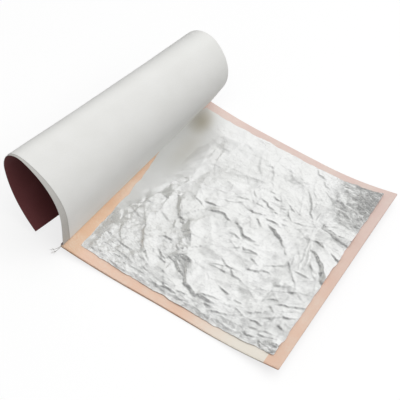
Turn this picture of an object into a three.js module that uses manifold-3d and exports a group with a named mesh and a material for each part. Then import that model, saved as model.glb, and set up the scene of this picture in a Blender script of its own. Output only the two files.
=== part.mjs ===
// Booklet of imitation silver leaf, lying open at its first leaf with the front cover curled back.
// Millimetres, +Z up. +X runs from the spine to the fore edge and +Y along the spine.
// The origin is on the flat middle of the back cover's underside, at the centre of the page.
import * as THREE from "three";
import { mergeVertices } from "three/addons/utils/BufferGeometryUtils.js";
import Module from "manifold-3d";

// Sheets, measured flat
const PAGE_WIDTH = 157;
const PAGE_LENGTH = 157;
const LEAF_WIDTH = 138.5;
const LEAF_LENGTH = 143.5;
const LEAF_COUNT = 25;
const COVER_THICKNESS = 0.25;
const GUARD_THICKNESS = 0.08;
const TISSUE_THICKNESS = 0.04;
const LEAF_THICKNESS = 0.01;
const SHEET_GAP = 0.01;
const GUARD_GAP = 0.12;

// How the sheets lie on each other
const TISSUE_STAGGER = 0.45;
const LEAF_TURN_DEG = -0.9;
const LEAF_SET = 2.1;
const LEAF_STRAY = 0.6;
const STRAY_STEP = 2.4;

// Bend of the block: spine and fore edge curl up from a flat middle
const SPINE_BEND = 52;
const SPINE_LIFT = 5;
const SPINE_FACETS = 3;
const FORE_BEND = 57;
const FORE_LIFT = 8.3;
const FORE_FACETS = 4;

// Spine: a folded card wall, the glue behind it and two sewing threads set in the glue
const GLUE_DEPTH = 0.5;
const GLUE_GAP = 0.02;
const LOOSE_SHEETS = 2;
const THREAD_DIAMETER = 0.3;
const THREAD_SIDES = 6;
const THREAD_STEPS = 66;
const GROOVE_CLEARANCE = 0.05;
const TAIL_LENGTH = 5;
const TAIL_SPREAD = 2.6;
const TAIL_DROP = 1.6;

// Curl of the front cover: arcs of [length, turn in degrees] at the near and the far end of the spine
const ROOT_NEAR = 0.2;
const ROOT_FAR = 12.7;
const CREASE_LENGTH = 1.2;
const RISE_NEAR_DEG = 90.8;
const RISE_FAR_DEG = 68.5;
const CURL_NEAR = [[20.7, 3.3], [53.2, 59.3], [15.3, 95.9], [12.5, 29.2]];
const CURL_FAR = [[21, 1.3], [40.8, 66.5], [19.9, 87.8], [35.1, 71.1]];
const FLAP_TURN_NEAR_DEG = 31.6;
const FLAP_TURN_FAR_DEG = 61.3;
const CURL_ROWS = 6;
const ROOT_COLUMNS = 1;
const CREASE_COLUMNS = 4;
const CURL_COLUMNS = [2, 8, 9, 6];
const FLAP_COLUMNS = 6;

// Crinkles of the loose leaf: a net of flat facets that floats over the page and clings to it at the
// gutter, where the heights ramp up from the cover's root
const CRINKLE_CELLS = 12;
const CRINKLE_LOFT = 0.9;
const CRINKLE_HEIGHT = 1.3;
const CRINKLE_STEP = 2.3;
const CRINKLE_SCATTER = 0.28;
const CRINKLE_EDGE = 0.35;
const GUTTER_CLING = 4;
const GUTTER_RAMP = 36;

// Near edge of the guard sheet, cut back further at the spine than over the crown
const GUARD_INSET_SPINE = 8;
const GUARD_INSET_CROWN = 1.5;

const COVER_COLOUR = 0x3a1f21;
const GUARD_COLOUR = 0xe4e5e2;
const TISSUE_COLOUR = 0xe6c6af;
const SILVER_COLOUR = 0xdadbda;
const GLUE_COLOUR = 0xe8e2d0;
const THREAD_COLOUR = 0xcfcac2;

const wasm = await Module();
wasm.setup();

// Derived sizes
const PAIR_PITCH = TISSUE_THICKNESS + LEAF_THICKNESS + 2 * SHEET_GAP;
const BLOCK_BASE = COVER_THICKNESS + SHEET_GAP;
const BLOCK_TOP = BLOCK_BASE + LEAF_COUNT * PAIR_PITCH;
const BOUND_TOP = BLOCK_TOP - LOOSE_SHEETS * PAIR_PITCH - SHEET_GAP;
const SPINE_OUTSIDE = -(GLUE_DEPTH + COVER_THICKNESS);
const LEAF_CENTRE = new THREE.Vector2(PAGE_WIDTH / 2 + LEAF_SET, PAGE_LENGTH / 2 + LEAF_STRAY);

// Height of the bent block's underside above the table, before it is broken into facets
function smoothRise(x) {
  const spineShare = Math.max(0, SPINE_BEND - x) / SPINE_BEND;
  const foreShare = Math.max(0, x - (PAGE_WIDTH - FORE_BEND)) / FORE_BEND;
  return SPINE_LIFT * spineShare ** 2 + FORE_LIFT * foreShare ** 2;
}

// Lines across the block where every sheet bends alike
function bendLines() {
  const lines = [];
  for (let i = 0; i <= SPINE_FACETS; i++) {
    lines.push((SPINE_BEND * i) / SPINE_FACETS);
  }
  for (let i = 0; i <= FORE_FACETS; i++) {
    lines.push(PAGE_WIDTH - FORE_BEND + (FORE_BEND * i) / FORE_FACETS);
  }
  return lines;
}

const BEND_LINES = bendLines();

// Height at x on the facets between the bend lines, level outside them at the spine
function rise(x) {
  if (x <= 0) return smoothRise(0);
  const last = BEND_LINES.length - 1;
  let i = 1;
  while (i < last && x > BEND_LINES[i]) i++;
  const share = (x - BEND_LINES[i - 1]) / (BEND_LINES[i] - BEND_LINES[i - 1]);
  return THREE.MathUtils.lerp(smoothRise(BEND_LINES[i - 1]), smoothRise(BEND_LINES[i]), share);
}

// Moves a point measured from the near end of the spine into the part's frame
function fromSpine(x, y, z) {
  return new THREE.Vector3(x - PAGE_WIDTH / 2, y - PAGE_LENGTH / 2, z);
}

// Splits the quads of a box's underside along the same diagonals as its top, so that a twisted
// sheet keeps its thickness
function matchDiagonals(slab) {
  const underside = slab.groups[slab.groups.length - 1];
  const corners = slab.index.array;
  for (let i = underside.start; i < underside.start + underside.count; i += 6) {
    const [a, b, d, , c] = corners.subarray(i, i + 6);
    corners.set([a, b, c, a, c, d], i);
  }
}

// A closed slab of columns by rows whose corners are placed one by one; side is 0 below and 1 above
function shapedSlab(columns, rows, place) {
  const slab = new THREE.BoxGeometry(columns, rows, 1, columns, rows, 1);
  matchDiagonals(slab);
  slab.deleteAttribute("normal");
  slab.deleteAttribute("uv");
  const shaped = mergeVertices(slab);
  const corners = shaped.attributes.position;
  for (let i = 0; i < corners.count; i++) {
    const column = Math.round(corners.getX(i) + columns / 2);
    const row = corners.getY(i) / rows + 0.5;
    const side = corners.getZ(i) + 0.5;
    const point = place(column, row, side);
    corners.setXYZ(i, point.x, point.y, point.z);
  }
  return shaped;
}

// A sheet of the block: it follows the bend between two edges across the spine
function bentSheet(left, right, near, far, level, thickness) {
  const inner = BEND_LINES.filter((line) => line > left && line < right);
  const stations = [left, ...inner, right];
  return shapedSlab(stations.length - 1, 1, (column, row, side) => {
    const x = stations[column];
    const y = THREE.MathUtils.lerp(near, far, row);
    return fromSpine(x, y, rise(x) + level + side * thickness);
  });
}

function toSolid(geometry) {
  const bare = geometry.clone();
  bare.deleteAttribute("normal");
  bare.deleteAttribute("uv");
  const merged = mergeVertices(bare);
  return new wasm.Manifold(
    new wasm.Mesh({
      numProp: 3,
      vertProperties: merged.attributes.position.array,
      triVerts: new Uint32Array(merged.index.array),
    }),
  );
}

function toGeometry(solid) {
  const mesh = solid.getMesh();
  const geometry = new THREE.BufferGeometry();
  geometry.setAttribute("position", new THREE.BufferAttribute(mesh.vertProperties, 3));
  geometry.setIndex(new THREE.BufferAttribute(mesh.triVerts, 1));
  return geometry;
}

// A leaf: trimmed from a bent sheet to its own outline, which lies a little turned on the page
function trimmedLeaf(level, turn, shift) {
  const half = new THREE.Vector2(LEAF_WIDTH / 2, LEAF_LENGTH / 2);
  const signs = [[-1, -1], [1, -1], [1, 1], [-1, 1]];
  const centre = LEAF_CENTRE.clone().add(shift);
  const outline = signs.map(([across, along]) =>
    new THREE.Vector2(across * half.x, along * half.y)
      .rotateAround(new THREE.Vector2(), turn)
      .add(centre),
  );
  const height = SPINE_LIFT + FORE_LIFT + BLOCK_TOP;
  const prism = new THREE.ExtrudeGeometry(new THREE.Shape(outline), { depth: height, bevelEnabled: false });
  prism.translate(-PAGE_WIDTH / 2, -PAGE_LENGTH / 2, 0);
  const sheet = bentSheet(0, PAGE_WIDTH, 0, PAGE_LENGTH, level, LEAF_THICKNESS);
  return toGeometry(toSolid(sheet).intersect(toSolid(prism)));
}

// How far the cover lies flat on the page before its crease, at y along the spine
function rootReach(y) {
  return THREE.MathUtils.lerp(ROOT_NEAR, ROOT_FAR, y / PAGE_LENGTH);
}

// Where a node of the crinkled net lies on the leaf, as a share of the leaf's side; the rim stays straight
function scattered(number, other) {
  const inside = number > 0 && number < CRINKLE_CELLS;
  const stray = inside ? CRINKLE_SCATTER * Math.sin(CRINKLE_STEP * (2 * number + 5 * other)) : 0;
  return (number + stray) / CRINKLE_CELLS;
}

// Height of a node of the crinkled net over the page
function crinkle(column, row, x, y) {
  const swing = Math.sin(CRINKLE_STEP * column + row) * Math.cos(CRINKLE_STEP * row - column);
  const cling = rootReach(y) + GUTTER_CLING;
  const free = THREE.MathUtils.smoothstep(x, cling, cling + GUTTER_RAMP);
  const rim = [0, CRINKLE_CELLS].includes(column) || [0, CRINKLE_CELLS].includes(row);
  return (CRINKLE_LOFT + (CRINKLE_HEIGHT * (1 + swing)) / 2) * free * (rim ? CRINKLE_EDGE : 1);
}

// The loose leaf on top of the block, crinkled into facets
function crinkledLeaf(level, turn) {
  const cells = CRINKLE_CELLS;
  return shapedSlab(cells, cells, (column, share, side) => {
    const row = Math.round(share * cells);
    const across = (scattered(column, row) - 0.5) * LEAF_WIDTH;
    const along = (scattered(row, column) - 0.5) * LEAF_LENGTH;
    const node = new THREE.Vector2(across, along).rotateAround(new THREE.Vector2(), turn).add(LEAF_CENTRE);
    const z = rise(node.x) + level + crinkle(column, row, node.x, node.y) + side * LEAF_THICKNESS;
    return fromSpine(node.x, node.y, z);
  });
}

// Back cover: the card under the block, folded up behind the spine as a low wall
function backCover() {
  const card = bentSheet(SPINE_OUTSIDE, PAGE_WIDTH, 0, PAGE_LENGTH, 0, COVER_THICKNESS);
  const wall = new THREE.BoxGeometry(COVER_THICKNESS, PAGE_LENGTH, BOUND_TOP);
  const wallMiddle = SPINE_OUTSIDE + COVER_THICKNESS / 2;
  const place = fromSpine(wallMiddle, PAGE_LENGTH / 2, rise(0) + BOUND_TOP / 2);
  wall.translate(place.x, place.y, place.z);
  return toGeometry(toSolid(card).add(toSolid(wall)));
}

// Heights of the two threads above the spine's underside, even between the glue's bottom and top
const THREAD_LEVELS = [1, 3].map((quarter) =>
  THREE.MathUtils.lerp(BLOCK_BASE, BOUND_TOP, quarter / 4),
);
const GROOVE = THREAD_DIAMETER + 2 * GROOVE_CLEARANCE;

// Glue behind the sheets' edges, with a groove towards the wall for each thread
function spineGlue() {
  const outer = -GLUE_DEPTH + GLUE_GAP;
  const inner = -GLUE_GAP;
  const section = new THREE.Shape();
  section.moveTo(outer, BLOCK_BASE);
  section.lineTo(inner, BLOCK_BASE);
  section.lineTo(inner, BOUND_TOP);
  section.lineTo(outer, BOUND_TOP);
  for (const level of [...THREAD_LEVELS].reverse()) {
    section.lineTo(outer, level + GROOVE / 2);
    section.lineTo(outer + GROOVE, level + GROOVE / 2);
    section.lineTo(outer + GROOVE, level - GROOVE / 2);
    section.lineTo(outer, level - GROOVE / 2);
  }
  section.closePath();
  const strip = new THREE.ExtrudeGeometry(section, { depth: PAGE_LENGTH, bevelEnabled: false });
  strip.rotateX(Math.PI / 2);
  const place = fromSpine(0, PAGE_LENGTH, rise(0));
  strip.translate(place.x, place.y, place.z);
  return strip;
}

// A sewing thread: straight in its groove, with a loose tail past each end of the spine
function sewingThread(level, spread, drop) {
  const x = -GLUE_DEPTH + GLUE_GAP + GROOVE / 2;
  const z = rise(0) + level;
  const nearEnd = fromSpine(x, 0, z);
  const farEnd = fromSpine(x, PAGE_LENGTH, z);
  const nearTip = fromSpine(x - spread, -TAIL_LENGTH, z - drop);
  const farTip = fromSpine(x - spread, PAGE_LENGTH + TAIL_LENGTH, z - drop);
  const nearTurn = fromSpine(x, -TAIL_LENGTH / 2, z);
  const farTurn = fromSpine(x, PAGE_LENGTH + TAIL_LENGTH / 2, z);
  const extrudePath = new THREE.CurvePath();
  extrudePath.add(new THREE.QuadraticBezierCurve3(nearTip, nearTurn, nearEnd));
  extrudePath.add(new THREE.LineCurve3(nearEnd, farEnd));
  extrudePath.add(new THREE.QuadraticBezierCurve3(farEnd, farTurn, farTip));
  const section = new THREE.Shape();
  for (let i = 0; i < THREAD_SIDES; i++) {
    const angle = (2 * Math.PI * i) / THREAD_SIDES;
    const corner = new THREE.Vector2(Math.cos(angle), Math.sin(angle)).multiplyScalar(THREAD_DIAMETER / 2);
    if (i === 0) section.moveTo(corner.x, corner.y);
    else section.lineTo(corner.x, corner.y);
  }
  section.closePath();
  return new THREE.ExtrudeGeometry(section, { steps: THREAD_STEPS, extrudePath });
}

// The cover's path in a section at a share of the way along the spine: arcs with lengths and turns
function curlArcs(share) {
  const mix = (near, far) => THREE.MathUtils.lerp(near, far, share);
  const root = rootReach(share * PAGE_LENGTH) - SPINE_OUTSIDE;
  const slope = THREE.MathUtils.radToDeg(Math.atan2(rise(BEND_LINES[1]) - rise(0), BEND_LINES[1]));
  const curls = CURL_NEAR.map(([length, turn], i) => ({
    length: mix(length, CURL_FAR[i][0]),
    turn: mix(turn, CURL_FAR[i][1]),
  }));
  const used = curls.reduce((sum, arc) => sum + arc.length, root + CREASE_LENGTH);
  const flap = {
    length: PAGE_WIDTH - SPINE_OUTSIDE - used,
    turn: mix(FLAP_TURN_NEAR_DEG, FLAP_TURN_FAR_DEG),
  };
  const crease = { length: CREASE_LENGTH, turn: mix(RISE_NEAR_DEG, RISE_FAR_DEG) - slope };
  return { slope, arcs: [{ length: root, turn: 0 }, crease, ...curls, flap] };
}

const ARC_COLUMNS = [ROOT_COLUMNS, CREASE_COLUMNS, ...CURL_COLUMNS, FLAP_COLUMNS];

// Points and headings of the path at every column of the curl
function curlPath(share) {
  const { slope, arcs } = curlArcs(share);
  let heading = THREE.MathUtils.degToRad(slope);
  const start = BLOCK_TOP + SHEET_GAP + GUARD_THICKNESS + GUARD_GAP;
  const place = new THREE.Vector2(SPINE_OUTSIDE, rise(0) + start - SPINE_OUTSIDE * Math.tan(-heading));
  const path = [{ place: place.clone(), heading }];
  arcs.forEach((arc, i) => {
    const turn = THREE.MathUtils.degToRad(arc.turn) / ARC_COLUMNS[i];
    const step = arc.length / ARC_COLUMNS[i];
    for (let column = 0; column < ARC_COLUMNS[i]; column++) {
      const chord = turn === 0 ? step : (2 * step * Math.sin(turn / 2)) / turn;
      place.x += chord * Math.cos(heading + turn / 2);
      place.y += chord * Math.sin(heading + turn / 2);
      heading += turn;
      path.push({ place: place.clone(), heading });
    }
  });
  return path;
}

// A sheet that follows the curl, between two offsets towards the inside of the roll
function curledSheet(inset, outer, inner) {
  const columns = ARC_COLUMNS.reduce((sum, count) => sum + count, 0);
  return shapedSlab(columns, CURL_ROWS, (column, row, side) => {
    const y = THREE.MathUtils.lerp(inset(column / columns), PAGE_LENGTH, row);
    const { place, heading } = curlPath(y / PAGE_LENGTH)[column];
    const offset = THREE.MathUtils.lerp(outer, inner, side);
    const x = place.x - offset * Math.sin(heading);
    const z = place.y + offset * Math.cos(heading);
    return fromSpine(x, y, z);
  });
}

function guardInset(share) {
  const climb = Math.min(1, 2 * share);
  return THREE.MathUtils.lerp(GUARD_INSET_SPINE, GUARD_INSET_CROWN, climb);
}

const finishes = {
  card: new THREE.MeshStandardMaterial({ color: COVER_COLOUR, roughness: 0.75, metalness: 0 }),
  guard: new THREE.MeshStandardMaterial({ color: GUARD_COLOUR, roughness: 0.8, metalness: 0 }),
  tissue: new THREE.MeshStandardMaterial({ color: TISSUE_COLOUR, roughness: 0.9, metalness: 0 }),
  silver: new THREE.MeshStandardMaterial({ color: SILVER_COLOUR, roughness: 0.3, metalness: 1 }),
  glue: new THREE.MeshStandardMaterial({ color: GLUE_COLOUR, roughness: 0.5, metalness: 0 }),
  thread: new THREE.MeshStandardMaterial({ color: THREAD_COLOUR, roughness: 0.95, metalness: 0 }),
};

const booklet = new THREE.Group();

function addPiece(name, geometry, finish) {
  const piece = new THREE.Mesh(geometry, finish);
  piece.name = name;
  booklet.add(piece);
}

addPiece("back_cover", backCover(), finishes.card);
addPiece("spine_glue", spineGlue(), finishes.glue);
addPiece("lower_thread", sewingThread(THREAD_LEVELS[0], TAIL_SPREAD / 2, TAIL_DROP), finishes.thread);
addPiece("upper_thread", sewingThread(THREAD_LEVELS[1], TAIL_SPREAD, TAIL_DROP / 2), finishes.thread);

// Tissues and leaves, numbered from the top of the booklet
for (let number = 1; number <= LEAF_COUNT; number++) {
  const tissueLevel = BLOCK_BASE + (LEAF_COUNT - number) * PAIR_PITCH;
  const leafLevel = tissueLevel + TISSUE_THICKNESS + SHEET_GAP;
  const phase = STRAY_STEP * (number - 1);
  const label = String(number).padStart(2, "0");
  const shift = TISSUE_STAGGER * Math.sin(phase);
  const fore = PAGE_WIDTH - TISSUE_STAGGER * (1 - Math.cos(phase)) / 2;
  const tissue = bentSheet(0, fore, shift, PAGE_LENGTH + shift, tissueLevel, TISSUE_THICKNESS);
  addPiece(`tissue_${label}`, tissue, finishes.tissue);
  const turn = THREE.MathUtils.degToRad(LEAF_TURN_DEG) * Math.cos(phase);
  const stray = new THREE.Vector2(Math.sin(phase), Math.sin(2 * phase)).multiplyScalar(LEAF_STRAY);
  const leaf = number === 1 ? crinkledLeaf(leafLevel, turn) : trimmedLeaf(leafLevel, turn, stray);
  addPiece(`silver_leaf_${label}`, leaf, finishes.silver);
}

addPiece("guard_sheet", curledSheet(guardInset, -GUARD_GAP - GUARD_THICKNESS, -GUARD_GAP), finishes.guard);
addPiece("front_cover", curledSheet(() => 0, 0, COVER_THICKNESS), finishes.card);

export default booklet;
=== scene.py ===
"""An open booklet of imitation silver leaf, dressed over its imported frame.

The curled cover and guard sheet, the tinted tissues, the crinkled leaf, the card behind them and the
sewing threads are modelled here in metres, each in the place that the frame gives its piece.
"""

import logging
import math
from dataclasses import dataclass, field
from enum import Enum, IntEnum
from typing import Callable

import bmesh
import bpy
import numpy as np
from mathutils import Matrix, Vector
from mathutils.geometry import delaunay_2d_cdt


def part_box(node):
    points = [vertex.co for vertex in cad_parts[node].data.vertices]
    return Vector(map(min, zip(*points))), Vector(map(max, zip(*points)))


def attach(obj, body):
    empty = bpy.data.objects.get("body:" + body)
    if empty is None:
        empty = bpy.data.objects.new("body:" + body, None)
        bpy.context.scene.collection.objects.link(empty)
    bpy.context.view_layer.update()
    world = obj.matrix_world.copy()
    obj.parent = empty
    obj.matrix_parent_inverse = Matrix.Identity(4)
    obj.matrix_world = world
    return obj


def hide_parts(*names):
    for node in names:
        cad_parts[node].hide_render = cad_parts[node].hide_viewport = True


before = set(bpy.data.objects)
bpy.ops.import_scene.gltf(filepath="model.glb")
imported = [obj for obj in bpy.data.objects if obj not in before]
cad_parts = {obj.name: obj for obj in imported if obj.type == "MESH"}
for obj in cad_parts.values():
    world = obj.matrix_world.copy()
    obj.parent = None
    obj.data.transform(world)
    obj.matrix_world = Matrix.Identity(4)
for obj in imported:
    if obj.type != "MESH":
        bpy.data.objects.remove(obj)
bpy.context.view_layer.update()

MM = 0.001
LEAF_COUNT = 25
EDGE_ANGLE = math.radians(60.0)
GRID_HALF = 0.5
TINY = 1e-9

SEED = 1907
COARSE_SEED = SEED + 1
FINE_SEED = SEED + 2
RIPPLE_SEED = SEED + 3
STRAY_SEED = SEED + 9
TEAR_SEED = SEED + 20
PRESSED_SEED_STEP = 30
TRIM_SEED = SEED + 400
TRIM_SEED_STEP = 4

FLAT = "flat"
LIVELY = "lively"
LEANING = "leaning"
PAINTED_SHADE = "painted_shade"

log = logging.getLogger("booklet")

Points = np.ndarray
Placed = tuple[Points, Points]
Pair = tuple[float, float]
Span = Pair
Triple = tuple[float, float, float]
Colour = Triple
Waves = tuple[int, float, float]
Socket = bpy.types.NodeSocket
Sockets = bpy.types.NodeOutputs
Material = bpy.types.Material
Piece = bpy.types.Object

RISING: Span = (0.0, 1.0)
FALLING: Span = (1.0, 0.0)
HALFWAY: Triple = (0.5, 0.5, 0.5)
WHITE: Colour = (1.0, 1.0, 1.0)


class Side(IntEnum):
    """The faces of a sheet, in the order of its material slots."""

    OVER = 0
    UNDER = 1
    RIM = 2


class CreaseKind(Enum):
    """How the leaf is folded along a crease."""

    STEP = "step"
    FLARE = "flare"
    RIDGE = "ridge"


def smooth(low: float, high: float, value: Points) -> Points:
    """Rises smoothly from 0 at low to 1 at high.

    Args:
        low: the value at which the rise starts.
        high: the value at which it ends.
        value: what is compared with them.

    Returns:
        A share from 0 to 1 for each value.
    """
    share = np.clip((value - low) / (high - low), 0.0, 1.0)
    return share * share * (3.0 - 2.0 * share)


def mix(start: Points | float, end: Points | float, share: Points | float) -> Points:
    """Goes from start to end by a share."""
    return start + (end - start) * share


def shifted(span: Span, start: float) -> Span:
    """Moves a span along by its start."""
    return (start + span[0], start + span[1])


class Wander:
    """A smooth seeded wobble along a line, for edges that aren't cut quite straight."""

    def __init__(self, seed: int, waves: int, longest: float, shortest: float) -> None:
        """Draws the waves.

        Args:
            seed: the draw's seed.
            waves: how many waves are added up.
            longest: the longest wave, in metres.
            shortest: the shortest wave, in metres.
        """
        draw = np.random.default_rng(seed)
        self.lengths = np.geomspace(longest, shortest, waves)
        self.phases = draw.uniform(0.0, 2.0 * math.pi, waves)
        self.weights = self.lengths / self.lengths.sum()

    def at(self, place: Points) -> Points:
        """Gives the wobble, from about -1 to 1, at places along the line in metres."""
        angles = 2.0 * math.pi * place[..., None] / self.lengths + self.phases
        return (np.sin(angles) * self.weights).sum(axis=-1)


@dataclass(frozen=True)
class PageShape:
    """The page and the way that the whole block bends, from its spine to its fore edge."""

    spine_bend: float = 52 * MM
    spine_lift: float = 5 * MM
    fore_bend: float = 57 * MM
    fore_lift: float = 8.3 * MM
    near_hollow: float = 1.5 * MM
    far_hollow: float = 1.0 * MM
    low: Vector = field(default_factory=lambda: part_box("tissue_01")[0])
    high: Vector = field(default_factory=lambda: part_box("tissue_01")[1])

    @property
    def width(self) -> float:
        """The page's width, from the spine to the fore edge."""
        return self.high.x - self.low.x

    @property
    def length(self) -> float:
        """The page's length along the spine."""
        return self.high.y - self.low.y

    def rise(self, across: Points) -> Points:
        """Gives how far the bend lifts the block.

        Args:
            across: distances from the spine, in metres.

        Returns:
            Heights above the block's flat middle.
        """
        spine = np.clip(self.spine_bend - across, 0.0, self.spine_bend) / self.spine_bend
        fore = np.clip(across - (self.width - self.fore_bend), 0.0, None) / self.fore_bend
        return self.spine_lift * spine**2 + self.fore_lift * fore**2

    def place(self, across: Points, along: Points, height: Points) -> Points:
        """Moves points measured from the near end of the spine into the frame.

        Args:
            across: distances from the spine.
            along: distances from the near edge.
            height: heights above the table.

        Returns:
            Points in the frame, one row each.
        """
        return np.stack([self.low.x + across, self.low.y + along, height], axis=-1)

    def trimmed(self, across: Points, along: Points) -> Points:
        """Pulls the near and the far edge in a little towards their middles, where the trim is hollow.

        Args:
            across: distances from the spine.
            along: distances from the near edge.

        Returns:
            The new distances from the near edge.
        """
        share = np.clip(across / self.width, 0.0, 1.0)
        inwards = mix(self.near_hollow, -self.far_hollow, along / self.length)
        return along + 4.0 * share * (1.0 - share) * inwards


def slab(name: str, columns: int, rows: int, place: Callable[[Points, Points, Points], Placed]) -> Piece:
    """Makes a closed sheet: a grid, drawn up to a second layer, whose points are then placed.

    Args:
        name: the piece's name.
        columns: cells across the sheet.
        rows: cells along the sheet.
        place: gives the points in the frame and the flat sheet's own metres from shares across and
            along, from 0 to 1, and the side, 0 below and 1 above.

    Returns:
        The new object, whose faces carry a material number for each side.
    """
    sheet = bmesh.new()
    bmesh.ops.create_grid(sheet, x_segments=columns, y_segments=rows, size=GRID_HALF)
    under = sheet.faces[:]
    drawn = bmesh.ops.extrude_face_region(sheet, geom=under + sheet.edges[:], use_keep_orig=True)
    over = [part for part in drawn["geom"] if isinstance(part, bmesh.types.BMFace)]
    raised = [part for part in drawn["geom"] if isinstance(part, bmesh.types.BMVert)]
    bmesh.ops.translate(sheet, verts=raised, vec=(0.0, 0.0, 1.0))
    for face in sheet.faces:
        face.material_index = Side.RIM
        face.smooth = False
    for faces, side in ((under, Side.UNDER), (over, Side.OVER)):
        for face in faces:
            face.material_index = side
            face.smooth = True
    bmesh.ops.recalc_face_normals(sheet, faces=sheet.faces[:])
    mesh = bpy.data.meshes.new(name)
    sheet.to_mesh(mesh)
    sheet.free()

    shares = np.empty(len(mesh.vertices) * 3, dtype=np.float32)
    mesh.vertices.foreach_get("co", shares)
    shares = shares.reshape(-1, 3).astype(float)
    points, flat = place(shares[:, 0] + GRID_HALF, shares[:, 1] + GRID_HALF, shares[:, 2])
    mesh.vertices.foreach_set("co", points.astype(np.float32).ravel())
    corners = np.empty(len(mesh.loops), dtype=np.int32)
    mesh.loops.foreach_get("vertex_index", corners)
    mesh.uv_layers.new(name=FLAT).data.foreach_set("uv", flat[corners].astype(np.float32).ravel())
    mesh.update()
    mesh.set_sharp_from_angle(angle=EDGE_ANGLE)
    return link(name, mesh)


def link(name: str, mesh: bpy.types.Mesh) -> Piece:
    """Puts a mesh into the scene as an object at the origin.

    Args:
        name: the object's name.
        mesh: its mesh.

    Returns:
        The new object.
    """
    piece = bpy.data.objects.new(name, mesh)
    bpy.context.scene.collection.objects.link(piece)
    return piece


def dress(piece: Piece, *materials: Material) -> None:
    """Fills a piece's material slots.

    Args:
        piece: the piece.
        materials: a material for each slot, in order.
    """
    slots = piece.data.materials
    for number, material in enumerate(materials):
        if number < len(slots):
            slots[number] = material
        else:
            slots.append(material)


def seat(piece: Piece, body: str, node: str) -> None:
    """Lets a piece stand for a node of the frame, and reports it.

    Args:
        piece: the finished piece.
        body: the moving body that carries it.
        node: the node that it replaces.
    """
    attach(piece, body)
    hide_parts(node)
    log.info("%s rides on %s, %d faces", piece.name, body, len(piece.data.polygons))


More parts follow.
